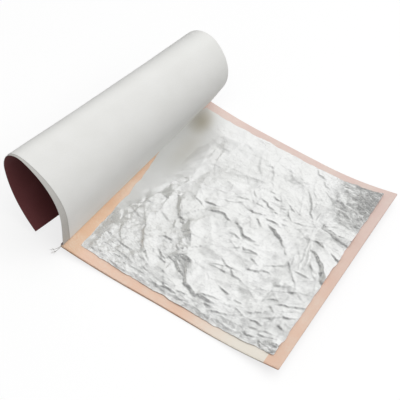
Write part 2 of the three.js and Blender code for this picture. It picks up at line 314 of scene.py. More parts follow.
class Sketch:
    """The nodes of a material or of the world, with short calls that add and join them."""

    def __init__(self, owner: Material | bpy.types.World) -> None:
        """Starts with no nodes.

        Args:
            owner: the material or the world.
        """
        owner.use_nodes = True
        self.owner = owner
        self.nodes = owner.node_tree.nodes
        self.links = owner.node_tree.links
        self.nodes.clear()

    def add(self, kind: str, inputs: dict[str | int, object], **settings: object) -> bpy.types.Node:
        """Adds a node.

        Args:
            kind: the node's type.
            inputs: a value, or the socket that drives it, for each named input.
            settings: the node's own options.

        Returns:
            The new node.
        """
        node = self.nodes.new(kind)
        for key, value in settings.items():
            setattr(node, key, value)
        for key, value in inputs.items():
            if isinstance(value, Socket):
                self.links.new(value, node.inputs[key])
            else:
                node.inputs[key].default_value = value
        return node

    def coordinates(self, flat: bool) -> Socket:
        """Gives where a point of the surface is.

        Args:
            flat: in the sheet's own flat metres, and otherwise in the frame.

        Returns:
            The coordinates.
        """
        if flat:
            return self.add("ShaderNodeUVMap", {}, uv_map=FLAT).outputs["UV"]
        return self.add("ShaderNodeTexCoord", {}).outputs["Object"]

    def attribute(self, name: str) -> Socket:
        """Gives a number that is kept at each point of the mesh."""
        return self.add("ShaderNodeAttribute", {}, attribute_name=name).outputs["Fac"]

    def stretched(self, vector: Socket, scale: Triple, turn: float) -> Socket:
        """Turns a pattern about Z and stretches it.

        Args:
            vector: the coordinates.
            scale: the stretch along each axis.
            turn: the turn about Z, in degrees.

        Returns:
            The new coordinates.
        """
        settings = {"Vector": vector, "Scale": scale, "Rotation": (0.0, 0.0, math.radians(turn))}
        return self.add("ShaderNodeMapping", settings).outputs["Vector"]

    def noise(self, vector: Socket, scale: float, detail: float, ridged: bool = False,
              bend: float = 0.0) -> Socket:
        """Adds a noise.

        Args:
            vector: the coordinates.
            scale: waves in a metre.
            detail: octaves of finer waves.
            ridged: sharp crests in place of soft waves.
            bend: how far the pattern is warped.

        Returns:
            The noise's value.
        """
        kind = "RIDGED_MULTIFRACTAL" if ridged else "FBM"
        inputs = {"Vector": vector, "Scale": scale, "Detail": detail, "Distortion": bend}
        return self.add("ShaderNodeTexNoise", inputs, noise_type=kind).outputs["Fac"]

    def ranged(self, value: Socket, before: Span, after: Span = RISING,
               how: str = "SMOOTHSTEP") -> Socket:
        """Carries a value from one range to another.

        Args:
            value: the value.
            before: the range that it is read in.
            after: the range that it is carried to.
            how: the kind of step between them.

        Returns:
            The new value.
        """
        inputs = {"Value": value, 1: before[0], 2: before[1], 3: after[0], 4: after[1]}
        node = self.add("ShaderNodeMapRange", inputs, interpolation_type=how)
        return node.outputs["Result"]

    def maths(self, operation: str, first: object, second: object) -> Socket:
        """Adds one sum of two values."""
        return self.add("ShaderNodeMath", {0: first, 1: second}, operation=operation).outputs[0]

    def blended(self, share: object, start: object, end: object) -> Socket:
        """Blends two colours.

        Args:
            share: how much of the second colour shows.
            start: the first colour.
            end: the second colour.

        Returns:
            The new colour.
        """
        inputs = {0: share, 6: start, 7: end}
        node = self.add("ShaderNodeMix", inputs, data_type="RGBA")
        return node.outputs[2]

    def vectors(self, operation: str, *terms: object) -> Sockets:
        """Adds one sum of vectors."""
        return self.add("ShaderNodeVectorMath", dict(enumerate(terms)), operation=operation).outputs

    def dotted(self, first: object, second: object) -> Socket:
        """Gives the dot product of two vectors."""
        return self.vectors("DOT_PRODUCT", first, second)["Value"]

    def bumped(self, height: Socket, depth: float, below: Socket | None = None) -> Socket:
        """Adds a relief.

        Args:
            height: the relief's height, from 0 to 1.
            depth: the height in metres that 1 stands for.
            below: the normal of a relief under this one.

        Returns:
            The new normal.
        """
        inputs = {"Height": height, "Distance": depth, "Strength": 1.0}
        if below is not None:
            inputs["Normal"] = below
        return self.add("ShaderNodeBump", inputs).outputs["Normal"]

    def finish(self, inputs: dict[str | int, object]) -> Material:
        """Ends the material in one surface shader.

        Args:
            inputs: the shader's inputs.

        Returns:
            The finished material.
        """
        shader = self.add("ShaderNodeBsdfPrincipled", inputs)
        self.add("ShaderNodeOutputMaterial", {"Surface": shader.outputs["BSDF"]})
        return self.owner

    def seen(self) -> Socket:
        """Parts what the camera sees from plain light.

        Returns:
            1 where the camera sees something itself, in metal or through glass, and otherwise 0.
        """
        path = self.add("ShaderNodeLightPath", {}).outputs
        first = self.maths("MAXIMUM", path["Is Camera Ray"], path["Is Glossy Ray"])
        return self.maths("MAXIMUM", first, path["Is Transmission Ray"])


def opaque(colour: Colour) -> tuple[float, float, float, float]:
    """Gives a colour with full cover."""
    return (*colour, 1.0)


@dataclass(frozen=True)
class PaperFinish:
    """Smooth wove paper: faint clouds, short fibres and a fine tooth."""

    name: str
    colour: Colour
    shade: Colour
    roughness: float = 0.62
    gloss: float = 0.25
    clouds_per_metre: float = 55.0
    fibres_per_metre: float = 2600.0
    fibre_stretch: Triple = (0.35, 1.0, 1.0)
    fibre_turn: float = 24.0
    octaves: float = 3.0
    speckle_span: Span = (0.12, 0.40)
    tooth: float = 0.012 * MM

    def build(self) -> Material:
        """Builds the material.

        Returns:
            The paper.
        """
        sketch = Sketch(bpy.data.materials.new(self.name))
        flat = sketch.coordinates(flat=True)
        clouds = sketch.noise(flat, self.clouds_per_metre, self.octaves)
        drawn = sketch.stretched(flat, self.fibre_stretch, self.fibre_turn)
        fibres = sketch.noise(drawn, self.fibres_per_metre, self.octaves)
        speckle = sketch.ranged(sketch.maths("MULTIPLY", clouds, fibres), self.speckle_span)
        return sketch.finish({
            "Base Color": sketch.blended(speckle, opaque(self.shade), opaque(self.colour)),
            "Roughness": self.roughness,
            "Specular IOR Level": self.gloss,
            "Normal": sketch.bumped(fibres, self.tooth),
        })


@dataclass(frozen=True)
class CardFinish:
    """Dyed card: a fine felt tooth, with the dye a little thinner on its crests."""

    name: str = "maroon_card"
    colour: Colour = (0.168, 0.0475, 0.0485)
    worn: Colour = (0.196, 0.0605, 0.063)
    roughness: float = 0.58
    gloss: float = 0.3
    clouds_per_metre: float = 40.0
    cloud_octaves: float = 3.0
    tooth_per_metre: float = 1500.0
    tooth_octaves: float = 4.0
    tooth: float = 0.03 * MM
    worn_span: Span = (0.18, 0.42)

    def build(self) -> Material:
        """Builds the material.

        Returns:
            The card.
        """
        sketch = Sketch(bpy.data.materials.new(self.name))
        flat = sketch.coordinates(flat=True)
        felt = sketch.noise(flat, self.tooth_per_metre, self.tooth_octaves)
        clouds = sketch.noise(flat, self.clouds_per_metre, self.cloud_octaves)
        share = sketch.ranged(sketch.maths("MULTIPLY", felt, clouds), self.worn_span)
        return sketch.finish({
            "Base Color": sketch.blended(share, opaque(self.colour), opaque(self.worn)),
            "Roughness": self.roughness,
            "Specular IOR Level": self.gloss,
            "Normal": sketch.bumped(felt, self.tooth),
        })


@dataclass(frozen=True)
class TissueFinish:
    """Thin tissue dusted with rouge: a deeper orange in the gutter, partly rouge and partly painted light
    bounced in the gutter, and paler along the near edge.
    """

    page: PageShape
    name: str = "rouged_tissue"
    colour: Colour = (0.86, 0.60, 0.46)
    pink: Colour = (0.82, 0.64, 0.585)
    # partly painted light: deeper rouge in the gutter, and the orange glow that light bounced there gives
    gutter: Colour = (0.78, 0.52, 0.35)
    pale: Colour = (0.90, 0.855, 0.765)
    roughness: float = 0.78
    gloss: float = 0.2
    clouds_per_metre: float = 70.0
    fibres_per_metre: float = 2200.0
    fibre_stretch: Triple = (0.3, 1.0, 1.0)
    fibre_turn: float = 35.0
    octaves: float = 4.0
    tooth: float = 0.015 * MM
    dust_span: Span = (0.15, 0.42)
    dust_levels: Span = (0.0, 0.35)
    gutter_span: Span = (7 * MM, 15 * MM)
    paling_depth: Span = (9 * MM, 12 * MM)
    paling_start: Span = (80 * MM, 130 * MM)
    paling_end: Span = (146.4 * MM, 146.9 * MM)
    paling_levels: Span = (0.0, 0.95)

    def build(self) -> Material:
        """Builds the material.

        Returns:
            The tissue.
        """
        sketch = Sketch(bpy.data.materials.new(self.name))
        where = sketch.coordinates(flat=False)
        axes = sketch.add("ShaderNodeSeparateXYZ", {"Vector": where}).outputs
        drawn = sketch.stretched(where, self.fibre_stretch, self.fibre_turn)
        fibres = sketch.noise(drawn, self.fibres_per_metre, self.octaves)
        clouds = sketch.noise(where, self.clouds_per_metre, self.octaves)
        far = sketch.ranged(axes["Y"], (self.page.low.y, self.page.high.y))
        tint = sketch.blended(far, opaque(self.colour), opaque(self.pink))
        # Deeper orange towards the spine: partly rouge, partly painted bounce light in the gutter.
        gutter_rouge_and_glow = sketch.ranged(axes["X"], shifted(self.gutter_span, self.page.low.x), FALLING)
        tint = sketch.blended(gutter_rouge_and_glow, tint, opaque(self.gutter))
        tint = sketch.blended(self.paling(sketch, axes), tint, opaque(self.pale))
        dust = sketch.ranged(sketch.maths("MULTIPLY", fibres, clouds), self.dust_span, self.dust_levels)
        return sketch.finish({
            "Base Color": sketch.blended(dust, tint, opaque(self.pale)),
            "Roughness": self.roughness,
            "Specular IOR Level": self.gloss,
            "Normal": sketch.bumped(fibres, self.tooth),
        })

    def paling(self, sketch: Sketch, axes: Sockets) -> Socket:
        """Gives the share by which the tint pales towards the near edge, up to the end of the leaf.

        Args:
            sketch: the material.
            axes: the place in the frame, axis by axis.

        Returns:
            The share, from 0 to 1.
        """
        spine = self.page.low.x
        near = sketch.ranged(axes["Y"], shifted(self.paling_depth, self.page.low.y), FALLING)
        begun = sketch.ranged(axes["X"], shifted(self.paling_start, spine), self.paling_levels)
        ended = sketch.ranged(axes["X"], shifted(self.paling_end, spine), FALLING)
        return sketch.maths("MULTIPLY", sketch.maths("MULTIPLY", near, begun), ended)


@dataclass(frozen=True)
class SilverFinish:
    """Beaten white metal: bright, with shallow wrinkles where it was pressed.

    Where a leaf has a lively attribute, small flat facets lean this way and that on it, and where it is
    liveliest it is stippled too. A leaning attribute tilts its smallest facets all one way, like
    shingles, and a painted-shade attribute blends the metal towards a dull tan in the far gutter: painted
    shade and a painted reflection of the tissue, where the leaf lies under the roll.
    """

    name: str
    wrinkles: float
    colour: Colour = (0.925, 0.93, 0.92)
    dull: Colour = (0.885, 0.89, 0.875)
    # painted shade: the dull tan that the far gutter's patches blend the metal towards, for the roll's
    # shade and the tissue's reflection
    painted_shade_tan: Colour = (0.56, 0.52, 0.42)
    clouds_per_metre: float = 45.0
    cloud_span: Span = (0.35, 0.65)
    octaves: float = 4.0
    roughness_span: Span = (0.0, 0.9)
    roughness_levels: Span = (0.5, 0.27)
    stipple: float = 0.42 * MM
    stipple_per_metre: float = 620.0
    stipple_stretch: Triple = (0.55, 1.0, 1.0)
    stipple_turn: float = 35.0
    stipple_bend: float = 0.6
    stipple_span: Span = (0.95, 1.8)
    stipple_levels: Span = (0.06, 1.0)
    facet_sizes: Pair = (6.0 * MM, 2.3 * MM)
    facet_leans: Pair = (0.05, 0.10)
    shingle_size: float = 1.7 * MM
    shingle_way: Triple = (0.46, 0.89, 0.0)
    shingle_lean: float = 1.0
    warp: float = 1.1 * MM
    warp_share: float = 0.8
    fold_turns: Triple = (-38.0, 24.0, 62.0)
    fold_waves: Triple = (62.0, 105.0, 210.0)
    fold_depths: Triple = (0.36 * MM, 0.28 * MM, 0.15 * MM)
    fold_stretch: Triple = (0.5, 1.0, 1.0)
    fold_octaves: float = 1.0
    fold_bend: float = 0.5
    wrinkle_turn: float = 28.0
    wrinkle_waves: float = 95.0
    wrinkle_bend: float = 0.4

    def build(self) -> Material:
        """Builds the material.

        Returns:
            The metal.
        """
        sketch = Sketch(bpy.data.materials.new(self.name))
        where = sketch.coordinates(flat=False)
        lively = sketch.attribute(LIVELY)
        normal = self.stippled(sketch, where, lively)
        normal = self.faceted(sketch, lively, normal)
        normal = self.folded(sketch, where, lively, normal)
        clouds = sketch.ranged(sketch.noise(where, self.clouds_per_metre, self.octaves), self.cloud_span)
        metal = sketch.blended(clouds, opaque(self.dull), opaque(self.colour))
        return sketch.finish({
            # painted shade: darker and tan where the leaf lies in the far gutter
            "Base Color": sketch.blended(sketch.attribute(PAINTED_SHADE), metal, opaque(self.painted_shade_tan)),
            "Metallic": 1.0,
            "Roughness": sketch.ranged(lively, self.roughness_span, self.roughness_levels),
            "Normal": normal,
        })

    def stippled(self, sketch: Sketch, where: Socket, lively: Socket) -> Socket:
        """Stipples the leaf where it is liveliest.

        Args:
            sketch: the material.
            where: the place in the frame.
            lively: how lively the leaf is.

        Returns:
            The normal.
        """
        drawn = sketch.stretched(where, self.stipple_stretch, self.stipple_turn)
        grain = sketch.noise(drawn, self.stipple_per_metre, self.octaves, bend=self.stipple_bend)
        share = sketch.ranged(lively, self.stipple_span, self.stipple_levels)
        return sketch.bumped(sketch.maths("MULTIPLY", grain, share), self.stipple)

    def faceted(self, sketch: Sketch, lively: Socket, normal: Socket) -> Socket:
        """Adds the facets and the shingles.

        Args:
            sketch: the material.
            lively: how lively the leaf is.
            normal: the normal of the relief under them.

        Returns:
            The new normal.
        """
        for size, lean in zip(self.facet_sizes, self.facet_leans):
            away, way = self.facets(sketch, size)
            height = sketch.maths("MULTIPLY", sketch.dotted(away, way), lively)
            normal = sketch.bumped(height, lean, normal)
        away, _ = self.facets(sketch, self.shingle_size)
        leaning = sketch.attribute(LEANING)
        shingles = sketch.maths("MULTIPLY", sketch.dotted(away, self.shingle_way), leaning)
        return sketch.bumped(shingles, self.shingle_lean, normal)

    def folded(self, sketch: Sketch, where: Socket, lively: Socket, normal: Socket) -> Socket:
        """Adds the fine folds, and the wrinkles of a pressed leaf.

        Args:
            sketch: the material.
            where: the place in the frame.
            lively: how lively the leaf is.
            normal: the normal of the relief under them.

        Returns:
            The new normal.
        """
        for turn, waves, depth in zip(self.fold_turns, self.fold_waves, self.fold_depths):
            drawn = sketch.stretched(where, self.fold_stretch, turn)
            crests = sketch.noise(drawn, waves, self.fold_octaves, ridged=True, bend=self.fold_bend)
            normal = sketch.bumped(sketch.maths("MULTIPLY", crests, lively), depth, normal)
        if self.wrinkles > 0.0:
            drawn = sketch.stretched(where, self.fold_stretch, self.wrinkle_turn)
            crests = sketch.noise(drawn, self.wrinkle_waves, self.octaves, ridged=True,
                                  bend=self.wrinkle_bend)
            normal = sketch.bumped(crests, self.wrinkles, normal)
        return normal

    def facets(self, sketch: Sketch, size: float) -> tuple[Socket, Socket]:
        """Parts the leaf into flat facets that each lean their own way.

        Args:
            sketch: the material.
            size: how wide the facets are.

        Returns:
            Where a point is from the middle of its facet, and the way in which the facet leans.
        """
        flat = sketch.coordinates(flat=True)
        soft = {"Vector": flat, "Scale": self.warp_share / size}
        noise = sketch.add("ShaderNodeTexNoise", soft).outputs["Color"]
        bent = sketch.vectors("MULTIPLY_ADD", noise, (self.warp, self.warp, 0.0), flat)[0]
        spread = {"Vector": bent, "Scale": 1.0 / size}
        cells = sketch.add("ShaderNodeTexVoronoi", spread, voronoi_dimensions="2D").outputs
        away = sketch.vectors("SUBTRACT", bent, cells["Position"])[0]
        way = sketch.vectors("SUBTRACT", cells["Color"], HALFWAY)[0]
        return away, way


@dataclass(frozen=True)
class PlainFinish:
    """A plain fibrous or waxy stuff: thread and glue."""

    name: str
    colour: Colour
    shade: Colour
    roughness: float
    grain_per_metre: float
    octaves: float = 3.0
    grain_span: Span = (0.3, 0.7)
    tooth: float = 0.02 * MM

    def build(self) -> Material:
        """Builds the material.

        Returns:
            The thread or the glue.
        """
        sketch = Sketch(bpy.data.materials.new(self.name))
        grain = sketch.noise(sketch.coordinates(flat=False), self.grain_per_metre, self.octaves)
        share = sketch.ranged(grain, self.grain_span)
        return sketch.finish({
            "Base Color": sketch.blended(share, opaque(self.shade), opaque(self.colour)),
            "Roughness": self.roughness,
            "Normal": sketch.bumped(grain, self.tooth),
        })


@dataclass(frozen=True)
class Arc:
    """A stretch of the curl: its length and turn at the near and the far end, and its cells."""

    near_length: float
    near_turn: float
    far_length: float
    far_turn: float
    cells: int


@dataclass(frozen=True)
class Curl:
    """The roll of the turned-back cover: arcs from the spine to its free edge."""

    page: PageShape
    spine_outside: float = 0.75 * MM
    root_near: float = 0.2 * MM
    root_far: float = 12.7 * MM
    crease: float = 1.2 * MM
    rise_near: float = 90.8
    rise_far: float = 68.5
    arcs: tuple[Arc, ...] = (
        Arc(20.7 * MM, 3.3, 21 * MM, 1.3, 14),
        Arc(53.2 * MM, 59.3, 40.8 * MM, 66.5, 40),
        Arc(15.3 * MM, 95.9, 19.9 * MM, 87.8, 26),
        Arc(12.5 * MM, 29.2, 35.1 * MM, 71.1, 20),
    )
    flap_near: float = 31.6
    flap_far: float = 61.3
    root_cells: int = 10
    crease_cells: int = 8
    flap_cells: int = 30
    rows: int = 96
    first_facet: float = 52 / 3 * MM

    @property
    def cells(self) -> list[int]:
        """The cells of every stretch, from the spine to the free edge."""
        return [self.root_cells, self.crease_cells, *(arc.cells for arc in self.arcs), self.flap_cells]

    def stretches(self, share: Points) -> tuple[float, list[tuple[Points, Points]]]:
        """Gives the arcs at shares of the way along the spine.

        Args:
            share: shares from the near to the far end.

        Returns:
            The first slope in radians, and a length and a turn in radians for every stretch.
        """
        spine = self.page.rise(np.array([0.0, self.first_facet]))
        slope = math.atan2(spine[1] - spine[0], self.first_facet)
        lengths = [mix(self.root_near, self.root_far, share) + self.spine_outside,
                   np.full_like(share, self.crease)]
        turns = [np.zeros_like(share), np.radians(mix(self.rise_near, self.rise_far, share)) - slope]
        for arc in self.arcs:
            lengths.append(mix(arc.near_length, arc.far_length, share))
            turns.append(np.radians(mix(arc.near_turn, arc.far_turn, share)))
        lengths.append(self.page.width + self.spine_outside - sum(lengths))
        turns.append(np.radians(mix(self.flap_near, self.flap_far, share)))
        return slope, list(zip(lengths, turns))

    def place(self, across: Points, along: Points, offset: Points, start: float) -> Placed:
        """Places points of a sheet that follows the roll.

        Args:
            across: shares of the sheet's cells from the spine to the free edge.
            along: distances from the near edge, in metres.
            offset: distances towards the inside of the roll.
            start: the height of the path where it leaves the spine.

        Returns:
            Points in the frame, and the flat sheet's own metres.
        """
        ends = np.concatenate([[0.0], np.cumsum(self.cells)]) / sum(self.cells)
        stretch = np.interp(across, ends, np.arange(len(ends)))
        slope, stretches = self.stretches(along / self.page.length)
        heading = np.full_like(across, slope)
        x = np.full_like(across, -self.spine_outside)
        z = start - self.spine_outside * math.tan(slope) + np.zeros_like(across)
        travelled = np.zeros_like(across)
        for number, (length, turn) in enumerate(stretches):
            part = np.clip(stretch - number, 0.0, 1.0)
            swing = part * turn
            half = np.where(np.abs(swing) < TINY, TINY, swing) / 2.0
            chord = part * length * np.sin(half) / half
            x = x + chord * np.cos(heading + swing / 2.0)
            z = z + chord * np.sin(heading + swing / 2.0)
            heading = heading + swing
            travelled = travelled + part * length
        x = x - offset * np.sin(heading)
        z = z + offset * np.cos(heading)
        return self.page.place(x, along, z), np.stack([travelled, along], axis=-1)


@dataclass
class CurledCover:
    """The front cover and the guard sheet that is turned back with it."""

    page: PageShape
    curl: Curl
    cover_thickness: float = 0.25 * MM
    guard_thickness: float = 0.08 * MM
    guard_gap: float = 0.12 * MM
    guard_inset_spine: float = 8 * MM
    guard_inset_crown: float = 1.5 * MM
    crown: float = 0.5
    tissue_thickness: float = 0.04 * MM
    tissue_gap: float = 0.03 * MM
    ripple: float = 0.18 * MM
    ripple_waves: Waves = (7, 150 * MM, 22 * MM)
    ripple_span: Span = (0.25, 0.6)
    ripple_slant: float = 0.4

    def start(self) -> float:
        """Finds where the roll's path leaves the spine.

        Returns:
            Its height there.
        """
        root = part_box("tissue_01")
        lift = float(self.page.rise(np.zeros(1))[0])
        block = root[0].z - float(self.page.rise(np.array([self.page.width / 2]))[0])
        tissue = lift + block + self.tissue_thickness + self.tissue_gap
        return tissue + self.guard_thickness + self.guard_gap

    def sheet(self, name: str, outer: float, inner: float, inset: Callable[[Points], Points]) -> Piece:
        """Makes a sheet that follows the roll.

        Args:
            name: the piece's name.
            outer: the offset of its outer face towards the inside of the roll.
            inner: the offset of its inner face.
            inset: how far its near edge is cut back at shares from the spine to the free edge.

        Returns:
            The new piece.
        """
        wave = Wander(RIPPLE_SEED, *self.ripple_waves)
        start = self.start()

        def place(across: Points, along: Points, side: Points) -> Placed:
            """Places the sheet's points on the roll.

            Args:
                across: shares of the way from the spine.
                along: shares of the way from the near edge.
                side: 0 below and 1 above.

            Returns:
                Points in the frame, and the flat sheet's own metres.
            """
            reach = mix(inset(across), self.page.length, along)
            slant = self.ripple_slant * across * self.page.width
            loose = smooth(*self.ripple_span, across) * self.ripple * wave.at(reach + slant)
            return self.curl.place(across, reach, mix(outer, inner, side) + loose, start)

        return slab(name, sum(self.curl.cells), self.curl.rows, place)

    def guard_inset(self, across: Points) -> Points:
        """Gives how far the guard sheet's near edge is cut back, at shares from the spine."""
        return mix(self.guard_inset_spine, self.guard_inset_crown, np.clip(across / self.crown, 0.0, 1.0))

    def build(self, card: Material, painted_shade_lining: Material, edge: Material, guard: Material) -> None:
        """Builds and dresses both sheets.

        Args:
            card: the cover's dyed face.
            painted_shade_lining: the cover's plain face, coloured darker than the same card's cut edge as
                painted shade.
            edge: the cover's cut edge.
            guard: the guard sheet's paper.
        """
        cover = self.sheet("curled_cover", 0.0, self.cover_thickness, np.zeros_like)
        dress(cover, card, painted_shade_lining, edge)
        seat(cover, "cover", "front_cover")
        paper = self.sheet("guard_paper", -self.guard_gap - self.guard_thickness, -self.guard_gap,
                           self.guard_inset)
        dress(paper, guard, guard, guard)
        seat(paper, "cover", "guard_sheet")


@dataclass(frozen=True)
class Crease:
    """A fold of the top leaf along given points, in millimetres from the near end of the spine.

    A step is highest along its points and falls away sharply on the right of their run. A flare is a
    step that widens from its first point to its last. A ridge falls away alike on both sides.
    """

    points: tuple[Pair, ...]
    slope: float
    width: float
    kind: CreaseKind = CreaseKind.STEP
    reach: float = 6.0
    drawn_share: float = 0.32
    drawn_most: float = 5.0

    def drawn_out(self) -> Points:
        """Draws both ends of a step out along their run.

        Returns:
            The points of the fold.
        """
        points = np.array(self.points, dtype=float)
        if self.kind is not CreaseKind.STEP:
            return points
        more = min(self.drawn_share * np.hypot(*np.diff(points, axis=0).T).sum(), self.drawn_most)
        first = points[0] - points[1]
        last = points[-1] - points[-2]
        points[0] += more * first / np.hypot(*first)
        points[-1] += more * last / np.hypot(*last)
        return points


@dataclass(frozen=True)
class Facet:
    """A patch of the top leaf that leans towards the spine and the near edge."""

    centre: Pair
    radii: Pair
    slope: float
    hardness: float = 0.7


@dataclass(frozen=True)
class Patch:
    """A soft-edged patch of the top leaf, and how strongly something shows there."""

    centre: Pair
    radii: Pair
    gain: float
    soft: float = 0.5

    def cover(self, x: Points, y: Points) -> Points:
        """Gives how far the points are inside the patch, from 0 to 1."""
        out = np.hypot((x - self.centre[0]) / self.radii[0], (y - self.centre[1]) / self.radii[1])
        return smooth(0.0, self.soft, 1.0 - out)


@dataclass(frozen=True)
class CornerLift:
    """A corner of the top leaf that bends up from the page."""

    corner: Pair
    reach: float
    height: float
    most: float = 1.2


@dataclass(frozen=True)
class Wrinkles:
    """A field of short seeded wrinkles round a centre, in millimetres."""

    centre: Pair
    radii: Pair
    count: int
    angle: float
    spread: float
    length: Span
    width: Span
    height: Span
    radial: bool = False


class FacetNet:
    """A net of flat facets between points, which is how foil crumples, in millimetres."""

    def net(self) -> Placed:
        """Gives a row for each point, its place and height, and three numbers for each triangle."""
        raise NotImplementedError

    def relief(self, x: Points, y: Points) -> Points:
        """Gives the net's height.

        Args:
            x: distances from the spine.
            y: distances from the near edge.

        Returns:
            A height for each place.
        """
        points, triangles = self.net()
        order = np.argsort(y)
        x, y = x[order], y[order]
        height = np.zeros_like(x)
        for triangle in triangles:
            first, second, third = points[triangle]
            low = np.minimum(np.minimum(first, second), third)
            high = np.maximum(np.maximum(first, second), third)
            start, end = np.searchsorted(y, (low[1], high[1]))
            near = start + np.flatnonzero((x[start:end] >= low[0]) & (x[start:end] <= high[0]))
            sides = np.array([second[:2] - first[:2], third[:2] - first[:2]]).T
            shares = np.linalg.solve(sides, np.stack([x[near] - first[0], y[near] - first[1]]))
            inside = (shares >= -TINY).all(axis=0) & (shares.sum(axis=0) <= 1.0 + TINY)
            rise = first[2] + shares[0] * (second[2] - first[2]) + shares[1] * (third[2] - first[2])
            height[near[inside]] = rise[inside]
        placed = np.empty_like(height)
        placed[order] = height
        return placed


@dataclass(frozen=True)
class Swell(FacetNet):
    """The leaf's main facets, which its solid has too: they float over the page and cling at the gutter."""

    size: Pair = (138.5, 143.5)
    centre: Pair = (80.6, 79.1)
    turn: float = math.radians(-0.9)
    page_length: float = 157.0
    roots: Pair = (0.2, 12.7)
    cells: int = 12
    loft: float = 0.9
    height: float = 1.3
    step: float = 2.3
    strides: tuple[int, int] = (2, 5)
    scatter: float = 0.28
    rim: float = 0.35
    cling: float = 4.0
    ramp: float = 36.0
    within: float = 0.4999

    def scattered(self, number: Points, other: Points) -> Points:
        """Scatters the net's points along one side of the leaf; the rim stays straight.

        Args:
            number: the points' numbers along this side.
            other: their numbers along the other side.

        Returns:
            Their places, as shares of the side.
        """
        inside = (number > 0) & (number < self.cells)
        stray = self.scatter * np.sin(self.step * (self.strides[0] * number + self.strides[1] * other))
        return (number + np.where(inside, stray, 0.0)) / self.cells

    def placed(self, across: Points, along: Points) -> Placed:
        """Turns places measured from the leaf's middle into places on the page.

        Args:
            across: distances along the leaf's near edge.
            along: distances along its edge at the spine.

        Returns:
            Distances from the spine and from the page's near edge.
        """
        x = self.centre[0] + across * math.cos(self.turn) - along * math.sin(self.turn)
        y = self.centre[1] + across * math.sin(self.turn) + along * math.cos(self.turn)
        return x, y

    def net(self) -> Placed:
        """Lays the net out.

        Returns:
            A row for each point, its place and height, and three numbers for each triangle.
        """
        numbers = np.arange(self.cells + 1)
        row, column = (each.ravel() for each in np.meshgrid(numbers, numbers, indexing="ij"))
        across = (self.scattered(column, row) - 0.5) * self.size[0]
        along = (self.scattered(row, column) - 0.5) * self.size[1]
        x, y = self.placed(across, along)
        swing = np.sin(self.step * column + row) * np.cos(self.step * row - column)
        cling = mix(*self.roots, y / self.page_length) + self.cling
        free = smooth(0.0, self.ramp, x - cling)
        on_rim = (column % self.cells == 0) | (row % self.cells == 0)
        height = (self.loft + self.height * (1.0 + swing) / 2.0) * free * np.where(on_rim, self.rim, 1.0)
        corner = np.flatnonzero((column < self.cells) & (row < self.cells))
        right, far = corner + 1, corner + self.cells + 1
        halves = [np.stack([corner, right, far + 1], axis=-1), np.stack([corner, far + 1, far], axis=-1)]
        return np.stack([x, y, height], axis=-1), np.concatenate(halves)

    def relief(self, x: Points, y: Points) -> Points:
        """Gives the net's height, and past its rim the rim's own.

        Args:
            x: distances from the spine.
            y: distances from the near edge.

        Returns:
            A height for each place.
        """
        out, up = x - self.centre[0], y - self.centre[1]
        across = out * math.cos(self.turn) + up * math.sin(self.turn)
        along = up * math.cos(self.turn) - out * math.sin(self.turn)
        across = np.clip(across, -self.within * self.size[0], self.within * self.size[0])
        along = np.clip(along, -self.within * self.size[1], self.within * self.size[1])
        return super().relief(*self.placed(across, along))


@dataclass(frozen=True)
class Crumple(FacetNet):
    """Smaller seeded facets all over the leaf, with sharp pleats along some of their sides."""

    spacing: float
    height: float
    seed: int
    pleated: float
    pleat_width: Span
    pleat_height: Span
    pleat_longest: float = 2.2
    pleat_half: float = 0.58
    pleat_seed_step: int = 50
    reach: float = 165.0
    margin: float = 0.5
    spare: int = 2
    scatter: float = 0.48
    weld: float = 1e-6

    def net(self) -> Placed:
        """Draws the net.

        Returns:
            A row for each point, its place and height, and three numbers for each triangle.
        """
        draw = np.random.default_rng(self.seed)
        count = int(self.reach / self.spacing) + self.spare
        lattice = np.stack(np.meshgrid(np.arange(count), np.arange(count)), axis=-1).reshape(-1, 2)
        stray = draw.uniform(-self.scatter, self.scatter, lattice.shape)
        places = (lattice - self.margin + stray) * self.spacing
        joined = delaunay_2d_cdt([Vector(place) for place in places], [], [], 0, self.weld, False)
        heights = draw.uniform(-self.height / 2.0, self.height / 2.0, len(places))
        return np.concatenate([places, heights[:, None]], axis=1), np.array(joined[2])

    def pleats(self) -> Points:
        """Draws the pleats.

        Returns:
            A row for each: centre, direction, half length, width and height.
        """
        points, triangles = self.net()
        sides = np.concatenate([triangles[:, [0, 1]], triangles[:, [1, 2]], triangles[:, [2, 0]]])
        sides = np.unique(np.sort(sides, axis=1), axis=0)
        draw = np.random.default_rng(self.seed + self.pleat_seed_step)
        sides = sides[draw.uniform(0.0, 1.0, len(sides)) < self.pleated]
        first, second = points[sides[:, 0], :2], points[sides[:, 1], :2]
        centre, run = (first + second) / 2.0, second - first
        length = np.hypot(run[:, 0], run[:, 1])
        near = length < self.pleat_longest * self.spacing
        width = draw.uniform(*self.pleat_width, len(sides))
        height = draw.uniform(*self.pleat_height, len(sides))
        rows = np.column_stack([centre, run / length[:, None], self.pleat_half * length, width, height])
        return rows[near]


